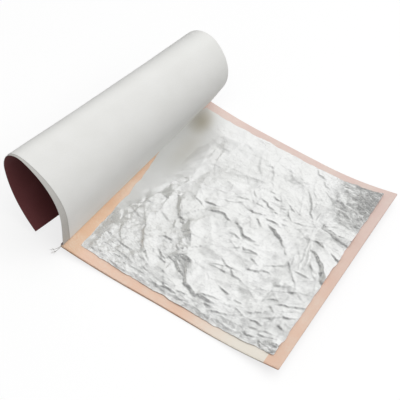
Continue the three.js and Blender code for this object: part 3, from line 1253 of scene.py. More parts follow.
CREASES = (
    Crease(((30.6, 72), (33.5, 72.2), (36, 75.3), (38, 78.2)), 0.5, 1.7, reach=8),
    Crease(((38.2, 78.4), (43, 71.4), (45.7, 66.4), (47.8, 63.4), (50, 63.1)), 0.5, 2.2, reach=14),
    Crease(((46.8, 59), (49, 54.6)), 0.38, 1.3, reach=4),
    Crease(((50, 60), (53.2, 60.9)), 0.43, 1.3, reach=4),
    Crease(((53.4, 65.4), (57, 60.4), (60.6, 55.2), (64, 50.6)), 0.34, 5.5, reach=14),
    Crease(((57, 49), (59.6, 46.6)), 0.38, 1.2, reach=4),
    Crease(((58, 44.4), (60.4, 40.4)), 0.38, 1.3, reach=4),
    Crease(((45, 42.8), (48, 45.2), (53.2, 45.4)), 0.38, 1.3, reach=5),
    Crease(((60.4, 41.2), (63, 44.3), (66.6, 47.8), (71, 52)), 0.43, 1.3, reach=3),
    Crease(((59.4, 34), (62.4, 37.4), (66, 39.6), (72.4, 39)), 0.38, 3.4, reach=6),
    Crease(((59.6, 33.6), (63, 33), (66.4, 31), (72.4, 27.4)), 0.48, 2, reach=3),
    Crease(((32.6, 46.5), (34, 43.8), (36.2, 38.8), (39.6, 32.4), (43.6, 28.3),
            (49.4, 23.8)), 0.56, 1.6, reach=7),
    Crease(((49.2, 35.2), (52, 33.2), (56, 31.6)), 0.32, 1.4, reach=5),
    Crease(((54, 29.8), (59, 28.4)), 0.34, 1.2, reach=5),
    Crease(((24.6, 25.4), (31, 24), (37.6, 24.5)), 0.34, 1.2, reach=5),
    Crease(((37.2, 22.7), (41.4, 20.5)), 0.32, 1.2, reach=4),
    Crease(((29.6, 18.7), (36, 18.2), (40.6, 17)), 0.38, 1.3, reach=4),
    Crease(((29.2, 15.6), (35.6, 16.2)), 0.32, 1.2, reach=4),
    Crease(((20.6, 18.6), (26, 18.6)), 0.29, 1.1, reach=3),
    Crease(((22.6, 22), (28.6, 22.5)), 0.32, 1.2, reach=3),
    Crease(((17, 26), (20.6, 27.2)), 0.32, 1.2, reach=3),
    Crease(((11.6, 22.6), (16.6, 23.8)), 0.34, 1.2, reach=3),
    Crease(((10.8, 19.2), (17.4, 20.8)), 0.32, 1.2, reach=3),
    Crease(((30.2, 9.4), (35.6, 9.3)), 0.38, 1.2, reach=2),
    Crease(((20.6, 39), (23, 32.2), (27.4, 25.8)), 0.27, 1.6, reach=6),
    Crease(((18, 51), (24, 49.6), (30, 48.4)), 0.27, 1.6, reach=6),
    Crease(((21.6, 64.2), (24.6, 62.2), (29, 63.8)), 0.32, 1.4, reach=5),
    Crease(((68, 12.8), (72, 13.7), (75.2, 13)), 0.4, 1.5, reach=4),
    Crease(((64, 15.2), (69, 13.4)), 0.26, 1.2, reach=4),
    Crease(((68.6, 18.9), (75.6, 17.6)), 0.29, 1.3, reach=4),
    Crease(((62, 13.2), (64, 10.6)), 0.29, 1.1, reach=3),
    Crease(((71, 34), (73.2, 30.6), (75.8, 26.4), (77.8, 22.8), (82, 21.2), (87.6, 19.2), (93, 20.4),
            (100, 20.2)), 0.57, 2.5, reach=12),
    Crease(((89.6, 20.6), (94, 22.8), (101, 24.6)), 0.53, 1.3, reach=6),
    Crease(((82.6, 79.4), (86, 77.4), (90, 74.2), (96.6, 74.4)), 0.43, 2.4, reach=10),
    Crease(((98, 72.6), (101, 73.5), (106, 78)), 0.43, 1.2, reach=4),
    Crease(((81, 71.7), (88, 71.4)), 0.32, 1.6, reach=5),
    Crease(((88.6, 62.8), (93, 66), (95, 65.4), (98, 67.4), (103, 66.4)), 0.43, 1.4, reach=5),
    Crease(((113, 62.6), (116.6, 64.9), (121, 67.5)), 0.44, 1.1, reach=4),
    Crease(((101.6, 62), (105.6, 60.3), (108.6, 59.8)), 0.32, 1.4, reach=5),
    Crease(((103.4, 52.4), (108, 55.4), (113, 58.4), (117, 58.4)), 0.4, 1.6, reach=5),
    Crease(((88, 50.8), (91, 49.4), (93.4, 48.4), (98.6, 49)), 0.43, 1.3, reach=5),
    Crease(((83.6, 44.2), (88.6, 47.4), (92.4, 48)), 0.38, 1.2, reach=4),
    Crease(((96.4, 47.4), (98.8, 44.8), (105, 43.6)), 0.34, 1.5, reach=5),
    Crease(((90.6, 43.8), (94, 43.2)), 0.32, 1.2, reach=3),
    Crease(((120.6, 41), (123, 44.8), (124.8, 48.6)), 0.43, 1.3, reach=4),
    Crease(((127, 40.8), (131, 43.4)), 0.34, 1.2, reach=4),
    Crease(((134, 40.6), (141, 42.4), (145, 44), (149.4, 46.6)), 0.43, 1.5, reach=5),
    Crease(((132, 27.4), (136, 30.2), (140, 32.9), (147.6, 36.4)), 0.46, 1.7, reach=6),
    Crease(((121, 25.8), (125, 28.8), (130, 31.8)), 0.43, 1.5, reach=5),
    Crease(((96.6, 32.8), (100.6, 32.4), (103.6, 30.9), (105.6, 32.6)), 0.4, 1.4, reach=5),
    Crease(((100.6, 14.6), (104.6, 16.4), (110.4, 17.6)), 0.43, 1.4, reach=4),
    Crease(((77.4, 15.7), (84, 15.9)), 0.4, 1.3, reach=3),
    Crease(((78, 10.6), (81, 11.4), (84.6, 12.8)), 0.43, 1.2, reach=3),
    Crease(((105.6, 27.8), (110, 32.6)), 0.32, 1.6, reach=5),
    Crease(((109.6, 29.2), (115, 29.5)), 0.32, 1.4, reach=5),
    Crease(((137.6, 11.4), (141, 9.4), (145.6, 8.6), (147.6, 9.6)), 0.5, 2.4, reach=3),
    Crease(((143.6, 12.4), (147, 14.2), (150.6, 13.9)), 0.57, 2.6, reach=3),
    Crease(((130, 36.2), (134.6, 34)), 0.29, 1.3, reach=4),
    Crease(((141.6, 26.2), (146, 25.9)), 0.32, 1.6, reach=4),
    Crease(((131, 68.4), (135, 68), (140, 67.4)), 0.32, 1.4, reach=4),
    Crease(((129, 66.6), (132.4, 62.4), (134.4, 60.2)), 0.34, 1.2, reach=4),
    Crease(((123.4, 72.6), (126, 70), (128.4, 64.6)), 0.32, 1.1, reach=4),
    Crease(((116.6, 79.6), (119.4, 76.8)), 0.34, 1.1, reach=3),
    Crease(((124, 78.6), (126.4, 71.6)), 0.26, 1.2, reach=4),
    Crease(((135.6, 79), (139.4, 73.2)), 0.32, 1.4, reach=4),
    Crease(((125, 51.8), (128.6, 54.6)), 0.32, 1.6, reach=4),
    Crease(((135, 51.8), (139, 54)), 0.32, 1.6, reach=4),
    Crease(((126.6, 11.8), (131, 12.3), (134, 13.6)), 0.4, 1.2, reach=3),
    Crease(((133.6, 15.4), (140.6, 16)), 0.34, 1.2, reach=3),
    Crease(((136, 18.6), (141, 19.6)), 0.38, 1.2, reach=3),
    Crease(((141.6, 17), (147, 18)), 0.38, 1.2, reach=3),
    Crease(((112.6, 24.4), (119.6, 22.6)), 0.26, 1.3, reach=4),
    Crease(((124.6, 22.2), (129, 22.9), (132.6, 21.2)), 0.34, 1.3, reach=4),
    Crease(((126.6, 17.8), (132.6, 18.4)), 0.29, 1.2, reach=4),
    Crease(((127.6, 106.8), (133, 107.4), (138, 106), (144, 104.6),
            (151.5, 104.6)), 0.78, 4.4, CreaseKind.FLARE, 7),
    Crease(((129.6, 89), (134, 86.6), (138, 84.4), (142.4, 80.8), (146, 76),
            (150.8, 70)), 0.65, 4, CreaseKind.FLARE, 8),
    Crease(((142.6, 91.2), (146.6, 89.6), (151, 88.2)), 0.56, 2.2, CreaseKind.FLARE, 5),
    Crease(((129.8, 96.4), (133.4, 95.6), (136.8, 93.4)), 0.38, 1.2, reach=4),
    Crease(((125.6, 106), (128, 109.4), (131.6, 112.8)), 0.38, 1.2, reach=4),
    Crease(((106.4, 129.6), (110.6, 126), (113.6, 121), (117.2, 114.4), (120, 110.6)), 0.44, 1.6, reach=8),
    Crease(((100, 90.4), (104, 88.6), (108, 87.3), (111, 85.4)), 0.53, 2.2, reach=8),
    Crease(((82, 94.4), (87, 94.6), (92, 96)), 0.4, 1.3, reach=4),
    Crease(((93.8, 94), (98.6, 95), (104, 93.6)), 0.43, 1.3, reach=4),
    Crease(((88.6, 91), (92, 89.2), (95, 87.2)), 0.32, 1.1, reach=4),
    Crease(((84.4, 106.4), (88, 105.3), (91, 104), (94.4, 103.6)), 0.4, 1.4, reach=5),
    Crease(((83.4, 101.2), (88.4, 101.8)), 0.34, 1.3, reach=4),
    Crease(((94.4, 100.6), (99.6, 102.6)), 0.38, 1.1, reach=4),
    Crease(((89.8, 113), (92.4, 111.6), (95.2, 111.9)), 0.43, 1.2, reach=4),
    Crease(((86, 115.4), (90, 115.3)), 0.34, 1.2, reach=4),
    Crease(((102, 112), (107, 110)), 0.43, 1.2, reach=4),
    Crease(((98.4, 107), (101, 107.9), (103.4, 109.6)), 0.4, 1.2, reach=4),
    Crease(((103.4, 108.6), (106, 104.4), (109.6, 100.6)), 0.32, 1.1, reach=4),
    Crease(((105.6, 96.4), (109, 97)), 0.26, 1.5, reach=4),
    Crease(((110.4, 85.4), (115, 81.2)), 0.34, 1.3, reach=4),
    Crease(((102.6, 150), (106, 147), (110, 145.2)), 0.34, 1.3, reach=5),
    Crease(((111, 142.6), (117, 139)), 0.29, 1.5, reach=5),
    Crease(((125.4, 133), (129, 131.9), (132.6, 130)), 0.38, 1.3, reach=4),
    Crease(((135.4, 125.2), (139.6, 122.6)), 0.4, 1.3, reach=4),
    Crease(((80.4, 80), (83.4, 82.6)), 0.32, 1.2, reach=4),
    Crease(((76.6, 110.4), (80.4, 104.8)), 0.29, 1.3, reach=4),
    Crease(((47, 82.4), (51, 81.9), (55, 79.3)), 0.38, 1.3, reach=5),
    Crease(((55, 83), (59, 84), (64.4, 85)), 0.34, 1.6, reach=6),
    Crease(((61.4, 79), (66, 81.2), (70, 81.9), (74.6, 79.8)), 0.43, 2.2, reach=9),
    Crease(((63.4, 91), (67, 91.8), (70, 93.8), (76.6, 97.6)), 0.38, 1.1, reach=4),
    Crease(((71, 98.2), (74.6, 100.5), (78, 101.4)), 0.34, 1.3, reach=4),
    Crease(((57, 111.4), (62, 115), (68.6, 117.6), (80, 119.4)), 0.26, 2.6, reach=7),
    Crease(((49.6, 106.6), (52.6, 112), (53.8, 118), (57, 121.6)), 0.32, 1.4, reach=5),
    Crease(((41, 111.6), (46, 113), (49.8, 113.2)), 0.26, 1.3, reach=4),
    Crease(((40.6, 127), (46.4, 129)), 0.26, 1.3, reach=4),
    Crease(((72.4, 132.4), (77, 133), (80.2, 129.4), (82.6, 124.6)), 0.29, 1.4, reach=5),
    Crease(((66.6, 136), (70, 128.4), (73.6, 123.6)), 0.23, 2, reach=6),
    Crease(((124.5, 104), (130.6, 75.8), (132.5, 62)), 0.22, 1.1, CreaseKind.RIDGE),
    Crease(((124.5, 104), (136.3, 69.5)), 0.22, 1.1, CreaseKind.RIDGE),
    Crease(((123, 107), (122, 121)), 0.26, 1.1, CreaseKind.RIDGE),
    Crease(((108, 101), (123, 105.5)), 0.26, 1.1, CreaseKind.RIDGE),
    Crease(((110, 94), (123, 104)), 0.22, 1.1, CreaseKind.RIDGE),
    Crease(((117.5, 88), (123.5, 103)), 0.2, 1.2, CreaseKind.RIDGE),
    Crease(((126, 107.5), (139, 114)), 0.2, 1.2, CreaseKind.RIDGE),
    Crease(((10.6, 113), (11, 124), (12.6, 137)), 0.5, 1.4, CreaseKind.RIDGE),
)

FACETS = (
    Facet((68.5, 34), (7.0, 8.0), 0.16),
    Facet((144, 9.5), (8, 4.5), 0.18),
    Facet((13, 38), (5, 8), 0.12),
    Facet((14, 26), (6, 8), 0.07),
)

CALMS = (
    Patch((46, 122), (44, 40), 0.7),
    Patch((62, 92), (24, 20), 1.05),
)

GRAINS = (
    Patch((143, 141), (24, 30), 2.7),
    Patch((144, 10), (11, 8), 1.4),
    Patch((60, 42), (12, 18), 1.7),
    Patch((24, 24), (44, 46), 1.75, 0.8),
    Patch((100, 8), (60, 26), 1.5, 0.8),
)

LIFTS = (
    CornerLift((150.0, 151.3), 27.0, 2.2),
)

LEANS = (
    Patch((157, 158), (52, 62), 0.46, 1.0),
    Patch((143, 9.8), (10, 6), 0.18, 0.8),
    Patch((65.5, 36), (9, 6.5), 0.25, 0.8),
    Patch((72.5, 31.5), (6.5, 10), 0.25, 0.8),
    Patch((57, 56), (7, 10), 0.06, 0.8),
    Patch((12, 38), (7, 10), 0.16, 0.8),
    Patch((13, 26), (8, 12), 0.08, 0.8),
)

# Painted shade: patches in the far gutter where the metal is blended towards tan, standing in for the
# roll's shade and the tissue reflected in the leaf.
PAINTED_SHADE_PATCHES = (
    Patch((17.5, 139), (11, 17), 0.8, 1.0),
    Patch((22, 114), (12, 32), 0.32, 1.0),
)

WRINKLES = (
    Wrinkles((42, 15), (34, 9), 46, -8, 14, (9, 22), (1.2, 1.5), (0.05, 0.12)),
    Wrinkles((95, 14), (34, 7), 34, 8, 12, (9, 22), (1.2, 1.5), (0.05, 0.12)),
    Wrinkles((132, 36), (20, 24), 40, 33, 9, (10, 24), (1.2, 1.8), (0.06, 0.15)),
    Wrinkles((124, 106), (24, 24), 46, 0, 5, (8, 20), (1.2, 1.5), (0.06, 0.15), radial=True),
    Wrinkles((92, 101), (19, 17), 30, -24, 26, (6, 14), (1.2, 1.7), (0.05, 0.13)),
    Wrinkles((97, 56), (24, 18), 36, 24, 24, (7, 18), (1.2, 1.8), (0.05, 0.13)),
    Wrinkles((56, 118), (32, 30), 40, 24, 40, (8, 24), (1.2, 2.2), (0.05, 0.12)),
    Wrinkles((110, 140), (22, 12), 30, -35, 30, (8, 20), (1.2, 1.9), (0.05, 0.14)),
    Wrinkles((140, 138), (15, 18), 90, -55, 20, (3, 9), (1.1, 1.4), (0.06, 0.16)),
    Wrinkles((18, 34), (10, 22), 40, -62, 24, (6, 16), (1.2, 1.5), (0.05, 0.13)),
    Wrinkles((50, 42), (22, 22), 36, -40, 26, (6, 16), (1.2, 1.8), (0.05, 0.13)),
)

CRUMPLES = (
    Crumple(10.0, 0.28, COARSE_SEED, 0.6, (1.2, 1.7), (0.04, 0.20)),
    Crumple(4.6, 0.10, FINE_SEED, 0.3, (1.2, 1.4), (0.03, 0.10)),
)


@dataclass
class CrinkledLeaf:
    """The relief of the top leaf, in millimetres on the page.

    A short wrinkle is steep on its right when it runs the steep way, and otherwise on its left.
    """

    swell: Swell
    creases: tuple[Crease, ...]
    facets: tuple[Facet, ...]
    calms: tuple[Patch, ...]
    lifts: tuple[CornerLift, ...]
    fields: tuple[Wrinkles, ...]
    crumples: tuple[Crumple, ...]
    steep_side: float = 0.55
    gentle_side: float = 2.4
    steep_way: Pair = (2.0, -1.0)
    stray: float = 0.7
    stray_waves: Waves = (6, 14.0, 2.2)
    flare_taper: float = 0.1
    flare_start: float = 0.18
    step_taper: float = 0.4
    step_ends: float = 0.45
    wall_curve: float = 1.5
    end_fade: float = 2.0
    cling_places: tuple[float, ...] = (30, 45, 60, 76, 101, 116, 150)
    cling_ends: tuple[float, ...] = (4, 9, 14, 19, 24.5, 27, 26)
    cling_span: Span = (-4.0, 13.0)
    cling_level: float = 0.04

    def __post_init__(self) -> None:
        """Draws the short wrinkles and the pleats."""
        self.strays = Wander(STRAY_SEED, *self.stray_waves)
        draw = np.random.default_rng(SEED)
        drawn = [self.scattered(each, draw) for each in self.fields]
        self.tents = np.concatenate(drawn + [crumple.pleats() for crumple in self.crumples])

    @staticmethod
    def scattered(wrinkles: Wrinkles, draw: np.random.Generator) -> Points:
        """Draws a field's wrinkles.

        Args:
            wrinkles: the field.
            draw: the seeded draw.

        Returns:
            A row for each: centre, direction, half length, width and height.
        """
        count = wrinkles.count
        around = draw.uniform(0.0, 2.0 * math.pi, count)
        out = np.sqrt(draw.uniform(0.0, 1.0, count))
        x = wrinkles.centre[0] + wrinkles.radii[0] * out * np.cos(around)
        y = wrinkles.centre[1] + wrinkles.radii[1] * out * np.sin(around)
        angle = np.radians(wrinkles.angle + wrinkles.spread * draw.uniform(-1.0, 1.0, count))
        if wrinkles.radial:
            angle = angle + np.arctan2(y - wrinkles.centre[1], x - wrinkles.centre[0])
        half = draw.uniform(*wrinkles.length, count) / 2.0
        width = draw.uniform(*wrinkles.width, count)
        height = draw.uniform(*wrinkles.height, count)
        return np.stack([x, y, np.cos(angle), np.sin(angle), half, width, height], axis=-1)

    def tent(self, x: Points, y: Points, row: Points) -> tuple[Points, Points]:
        """Gives the points under a wrinkle and its height there.

        Args:
            x: distances from the spine.
            y: distances from the near edge.
            row: the wrinkle.

        Returns:
            The points' numbers and heights.
        """
        centre_x, centre_y, cosine, sine, half, width, height = row
        reach = half + self.gentle_side * width
        near = np.flatnonzero((np.abs(x - centre_x) < reach) & (np.abs(y - centre_y) < reach))
        along = (x[near] - centre_x) * cosine + (y[near] - centre_y) * sine
        aside = (y[near] - centre_y) * cosine - (x[near] - centre_x) * sine
        if self.steep_way[0] * cosine + self.steep_way[1] * sine <= 0.0:
            aside = -aside
        steep, gentle = -aside / (self.steep_side * width), aside / (self.gentle_side * width)
        slope = np.where(aside < 0.0, steep, gentle)
        crown = np.clip(1.0 - slope, 0.0, 1.0) * np.clip(1.0 - (along / half) ** 2, 0.0, 1.0)
        return near, height * crown

    def fold(self, x: Points, y: Points, crease: Crease) -> Points:
        """Gives a fold's height.

        Args:
            x: distances from the spine.
            y: distances from the near edge.
            crease: the fold.

        Returns:
            A height for each point.
        """
        points = crease.drawn_out()
        runs = np.diff(points, axis=0)
        lengths = np.hypot(runs[:, 0], runs[:, 1])
        starts = np.concatenate([[0.0], np.cumsum(lengths)])
        nearest = np.full(x.shape, np.inf)
        aside = np.zeros_like(x)
        travelled = np.zeros_like(x)
        for start, run, length, before in zip(points[:-1], runs, lengths, starts):
            step = run / length
            along = (x - start[0]) * step[0] + (y - start[1]) * step[1]
            across = (y - start[1]) * step[0] - (x - start[0]) * step[1]
            held = np.clip(along, 0.0, length)
            distance = np.hypot(across, along - held)
            closer = distance < nearest
            nearest = np.where(closer, distance, nearest)
            aside = np.where(closer, np.where(across < 0.0, -distance, distance), aside)
            travelled = np.where(closer, before + held, travelled)
        share = travelled / starts[-1]
        aside = aside + self.stray * self.strays.at(travelled + points[0, 0] + points[0, 1])
        if crease.kind is CreaseKind.FLARE:
            taper = smooth(0.0, self.flare_taper, share)
            width = crease.width * mix(self.flare_start, 1.0, share)
            height = crease.slope * width
        else:
            taper = smooth(0.0, self.step_taper, share) * smooth(0.0, self.step_taper, 1.0 - share)
            width = crease.width * mix(self.step_ends, 1.0, taper)
            height = crease.slope * crease.width
        if crease.kind is CreaseKind.RIDGE:
            return height * taper * np.clip(1.0 - np.abs(aside) / width, 0.0, 1.0)
        wall = np.clip(1.0 + aside / width, 0.0, 1.0) ** self.wall_curve
        back = np.exp(-np.clip(aside, 0.0, None) / crease.reach)
        ends = np.exp(-np.clip(nearest - crease.reach, 0.0, None) / self.end_fade)
        return height * taper * wall * back * ends

    @staticmethod
    def lean(x: Points, y: Points, facet: Facet) -> Points:
        """Gives a leaning patch's height.

        Args:
            x: distances from the spine.
            y: distances from the near edge.
            facet: the patch.

        Returns:
            A height for each point.
        """
        across = (x - facet.centre[0]) / facet.radii[0]
        along = (y - facet.centre[1]) / facet.radii[1]
        cover = np.clip(1.0 - (across**2 + along**2), 0.0, 1.0)
        climb = (x - facet.centre[0] + y - facet.centre[1]) / math.sqrt(2.0)
        return facet.slope * climb * cover**facet.hardness

    @staticmethod
    def patched(x: Points, y: Points, patches: tuple[Patch, ...]) -> Points:
        """Gives the product of the patches' gains."""
        return np.prod([mix(1.0, patch.gain, patch.cover(x, y)) for patch in patches], axis=0)

    def lively(self, x: Points, y: Points) -> Points:
        """Gives how much the leaf may crinkle: it clings smoothly to the page along the far gutter."""
        free = smooth(*self.cling_span, x - np.interp(y, self.cling_places, self.cling_ends))
        return mix(self.cling_level, 1.0, free) * self.patched(x, y, self.calms)

    @staticmethod
    def lifted(x: Points, y: Points, lift: CornerLift) -> Points:
        """Gives how far a corner bends up."""
        away = (lift.corner[0] - x + lift.corner[1] - y) / math.sqrt(2.0)
        return lift.height * np.clip(1.0 - away / lift.reach, 0.0, lift.most) ** 2

    def height(self, x: Points, y: Points) -> Points:
        """Gives the relief.

        Args:
            x: distances from the spine, in millimetres.
            y: distances from the near edge, in millimetres.

        Returns:
            Heights above the tissue, in millimetres.
        """
        small = np.zeros_like(x)
        for row in self.tents:
            under, rise = self.tent(x, y, row)
            small[under] += rise
        large = sum(self.fold(x, y, crease) for crease in self.creases)
        leaning = sum(self.lean(x, y, facet) for facet in self.facets)
        crumpled = sum(crumple.relief(x, y) for crumple in self.crumples)
        corners = sum(self.lifted(x, y, lift) for lift in self.lifts)
        main = self.swell.relief(x, y) + corners + leaning
        return main + (small + large + crumpled) * self.lively(x, y)


@dataclass
class LeafStack:
    """The leaves: the crinkled one on top and the pressed ones between the tissues below."""

    page: PageShape
    curl: Curl
    relief: CrinkledLeaf
    flat: Pair = (138.5 * MM, 143.5 * MM)
    cells: tuple[int, int] = (214, 220)
    pressed_cells: tuple[int, int] = (36, 36)
    level: float = 0.05 * MM
    thickness: float = 0.01 * MM
    pressed_thickness: float = 0.008 * MM
    clearance: float = 0.03 * MM
    ragged: float = 0.85 * MM
    tear_waves: Waves = (12, 22 * MM, 1.5 * MM)
    tear_fade: float = 14.0
    near_corners: tuple[Pair, Pair] = ((9.2, 7.7), (149.8, 7.0))
    far_corners: tuple[Pair, Pair] = ((13.6, 150.4), (150.0, 151.3))
    crease_angle: float = math.radians(5.0)
    gutter_places: tuple[float, ...] = (0.0, 0.36, 0.47, 0.575, 0.655, 0.73, 0.845, 0.93, 0.98, 1.0)
    gutter_stray: tuple[float, ...] = (0.0, 0.4, -0.3, -1.9, -3.8, -5.4, -5.9, -3.8, -1.0, 0.0)
    gutter_fade: int = 4
    floor_sharpness: float = 8.0
    root_span: Span = (1.0 * MM, 4.0 * MM)

    def outline(self, across: Points, along: Points, seed: int) -> tuple[Points, Points]:
        """Gives places on the top leaf, with its torn edges.

        Args:
            across: shares from its edge at the spine to the one at the fore edge.
            along: shares from its near to its far edge.
            seed: the seed of the tears.

        Returns:
            Distances from the spine and from the near edge, in metres.
        """
        left = mix(np.array(self.near_corners[0]), np.array(self.far_corners[0]), along[:, None])
        right = mix(np.array(self.near_corners[1]), np.array(self.far_corners[1]), along[:, None])
        place = mix(left, right, across[:, None]) * MM
        stray = np.interp(along, self.gutter_places, self.gutter_stray) * MM
        x = place[:, 0] + stray * (1.0 - across) ** self.gutter_fade
        return self.torn(x, place[:, 1], across, along, seed)

    def torn(self, x: Points, y: Points, across: Points, along: Points, seed: int) -> tuple[Points, Points]:
        """Pulls a leaf's edges in and out, as they tear.

        Args:
            x: distances from the spine, in metres.
            y: distances from the near edge, in metres.
            across: shares from the leaf's edge at the spine to the one at the fore edge.
            along: shares from its near to its far edge.
            seed: the seed of the tears.

        Returns:
            The new distances.
        """
        tears = [Wander(seed + number, *self.tear_waves) for number in range(4)]
        x = x + self.ragged * tears[0].at(y) * np.exp(-self.tear_fade * across)
        x = x - self.ragged * tears[1].at(y) * np.exp(-self.tear_fade * (1.0 - across))
        y = y + self.ragged * tears[2].at(x) * np.exp(-self.tear_fade * along)
        y = y - self.ragged * tears[3].at(x) * np.exp(-self.tear_fade * (1.0 - along))
        return x, y

    def build_top(self, silver: Material) -> None:
        """Builds the crinkled leaf.

        Args:
            silver: its metal.
        """
        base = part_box("tissue_01")[0].z + self.level

        def place(across: Points, along: Points, side: Points) -> Placed:
            """Lays the leaf on the bent page and crinkles it.

            Args:
                across: shares of the way from the spine.
                along: shares of the way from the near edge.
                side: 0 below and 1 above.

            Returns:
                Points in the frame, and the flat sheet's own metres.
            """
            x, y = self.outline(across, along, TEAR_SEED)
            relief = self.relief.height(x / MM, y / MM)
            lifted = np.logaddexp(0.0, relief * self.floor_sharpness) / self.floor_sharpness * MM
            root = mix(self.curl.root_near, self.curl.root_far, y / self.page.length)
            free = smooth(*self.root_span, x - root)
            height = base + self.page.rise(x) + (self.clearance + lifted) * free + side * self.thickness
            return self.page.place(x, y, height), np.stack([x, y], axis=-1)

        leaf = slab("crinkled_leaf_01", *self.cells, place)
        leaf.data.set_sharp_from_angle(angle=self.crease_angle)
        self.enliven(leaf)
        dress(leaf, silver, silver, silver)
        seat(leaf, "loose_leaf", "silver_leaf_01")

    def enliven(self, leaf: Piece) -> None:
        """Marks each point: how lively its fine facets are, how they lean, and how much painted shade
        darkens it in the far gutter.

        Args:
            leaf: the crinkled leaf.
        """
        points = np.empty(3 * len(leaf.data.vertices))
        leaf.data.vertices.foreach_get("co", points)
        x, y = (points.reshape(-1, 3)[:, :2] - np.array(self.page.low[:2])).T / MM
        marks = {LIVELY: self.relief.lively(x, y) * self.relief.patched(x, y, GRAINS)}
        for name, patches in ((LEANING, LEANS), (PAINTED_SHADE, PAINTED_SHADE_PATCHES)):
            marks[name] = sum(patch.gain * patch.cover(x, y) for patch in patches)
        for name, values in marks.items():
            leaf.data.attributes.new(name, "FLOAT", "POINT").data.foreach_set("value", values)

    def build_pressed(self, number: int, body: str, silver: Material) -> None:
        """Builds a leaf that still lies pressed between two tissues.

        Args:
            number: its number from the top.
            body: the body that carries it.
            silver: its metal.
        """
        node = f"silver_leaf_{number:02d}"
        low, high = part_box(node)

        def place(across: Points, along: Points, side: Points) -> Placed:
            """Lays the leaf flat in the bent block.

            Args:
                across: shares of the way from the spine.
                along: shares of the way from the near edge.
                side: 0 below and 1 above.

            Returns:
                Points in the frame, and the flat sheet's own metres.
            """
            x = mix(low.x, high.x, across) - self.page.low.x
            y = mix(low.y, high.y, along) - self.page.low.y
            x, y = self.torn(x, y, across, along, SEED + PRESSED_SEED_STEP * number)
            height = low.z + self.page.rise(x) + side * self.pressed_thickness
            return self.page.place(x, y, height), np.stack([x, y], axis=-1)

        leaf = slab(f"pressed_leaf_{number:02d}", *self.pressed_cells, place)
        dress(leaf, silver, silver, silver)
        seat(leaf, body, node)


@dataclass
class TissueStack:
    """The tinted tissues, a little out of line with each other and not quite straight at their edges."""

    page: PageShape
    cells: tuple[int, int] = (56, 36)
    thickness: float = 0.036 * MM
    wobble: float = 0.22 * MM
    wobble_waves: Waves = (5, 180 * MM, 25 * MM)
    wobble_fade: int = 6

    def build(self, number: int, body: str, tissue: Material) -> None:
        """Builds a tissue.

        Args:
            number: its number from the top.
            body: the body that carries it.
            tissue: its paper.
        """
        node = f"tissue_{number:02d}"
        low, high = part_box(node)
        seed = TRIM_SEED + TRIM_SEED_STEP * number
        fore, near, far = (Wander(seed + edge, *self.wobble_waves) for edge in range(3))

        def place(across: Points, along: Points, side: Points) -> Placed:
            """Lays the tissue in the bent block.

            Args:
                across: shares of the way from the spine.
                along: shares of the way from the near edge.
                side: 0 below and 1 above.

            Returns:
                Points in the frame, and the flat sheet's own metres.
            """
            x = mix(low.x, high.x, across) - self.page.low.x
            y = mix(low.y, high.y, along) - self.page.low.y
            x = x + across**self.wobble_fade * self.wobble * fore.at(y)
            near_stray = (1.0 - along) ** self.wobble_fade * self.wobble * near.at(x)
            far_stray = along**self.wobble_fade * self.wobble * far.at(x)
            y = y + near_stray + far_stray
            y = self.page.trimmed(x, y)
            height = low.z + self.page.rise(x) + side * self.thickness
            return self.page.place(x, y, height), np.stack([x, y], axis=-1)

        sheet = slab(f"tissue_sheet_{number:02d}", *self.cells, place)
        dress(sheet, tissue, tissue, tissue)
        seat(sheet, body, node)


@dataclass
class BackCard:
    """The back cover: a card under the block with a low wall folded up behind the spine."""

    page: PageShape
    thickness: float = 0.25 * MM
    cells: tuple[int, int] = (90, 48)
    wall_cells: int = 8

    def build(self, card: Material, plain: Material) -> None:
        """Builds and dresses the card.

        Args:
            card: its dyed outside.
            plain: its undyed inside and cut edges.
        """
        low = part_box("back_cover")[0]
        lift = float(self.page.rise(np.zeros(1))[0])
        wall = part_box("spine_glue")[1].z - lift
        outside = self.page.low.x - low.x
        share = self.wall_cells / (self.wall_cells + self.cells[0])

        def place(across: Points, along: Points, side: Points) -> Placed:
            """Runs the card down the wall, round the fold and under the block.

            Args:
                across: shares of the way from the spine.
                along: shares of the way from the near edge.
                side: 0 below and 1 above.

            Returns:
                Points in the frame, and the flat sheet's own metres.
            """
            climb = np.clip(1.0 - across / share, 0.0, 1.0)
            under = np.clip((across - share) / (1.0 - share), 0.0, 1.0)
            inner = side * self.thickness
            on_wall = climb > 0.0
            x = np.where(on_wall, -outside + inner, mix(-outside + inner, self.page.width, under))
            fold = np.where(on_wall, mix(inner, wall, climb), inner)
            height = low.z + self.page.rise(x) + fold
            y = self.page.trimmed(x, along * self.page.length)
            flat = np.where(on_wall, -climb * wall, under * self.page.width) + wall
            return self.page.place(x, y, height), np.stack([flat, y], axis=-1)

        back = slab("back_card", self.wall_cells + self.cells[0], self.cells[1], place)
        dress(back, plain, card, plain)
        seat(back, "block", "back_cover")


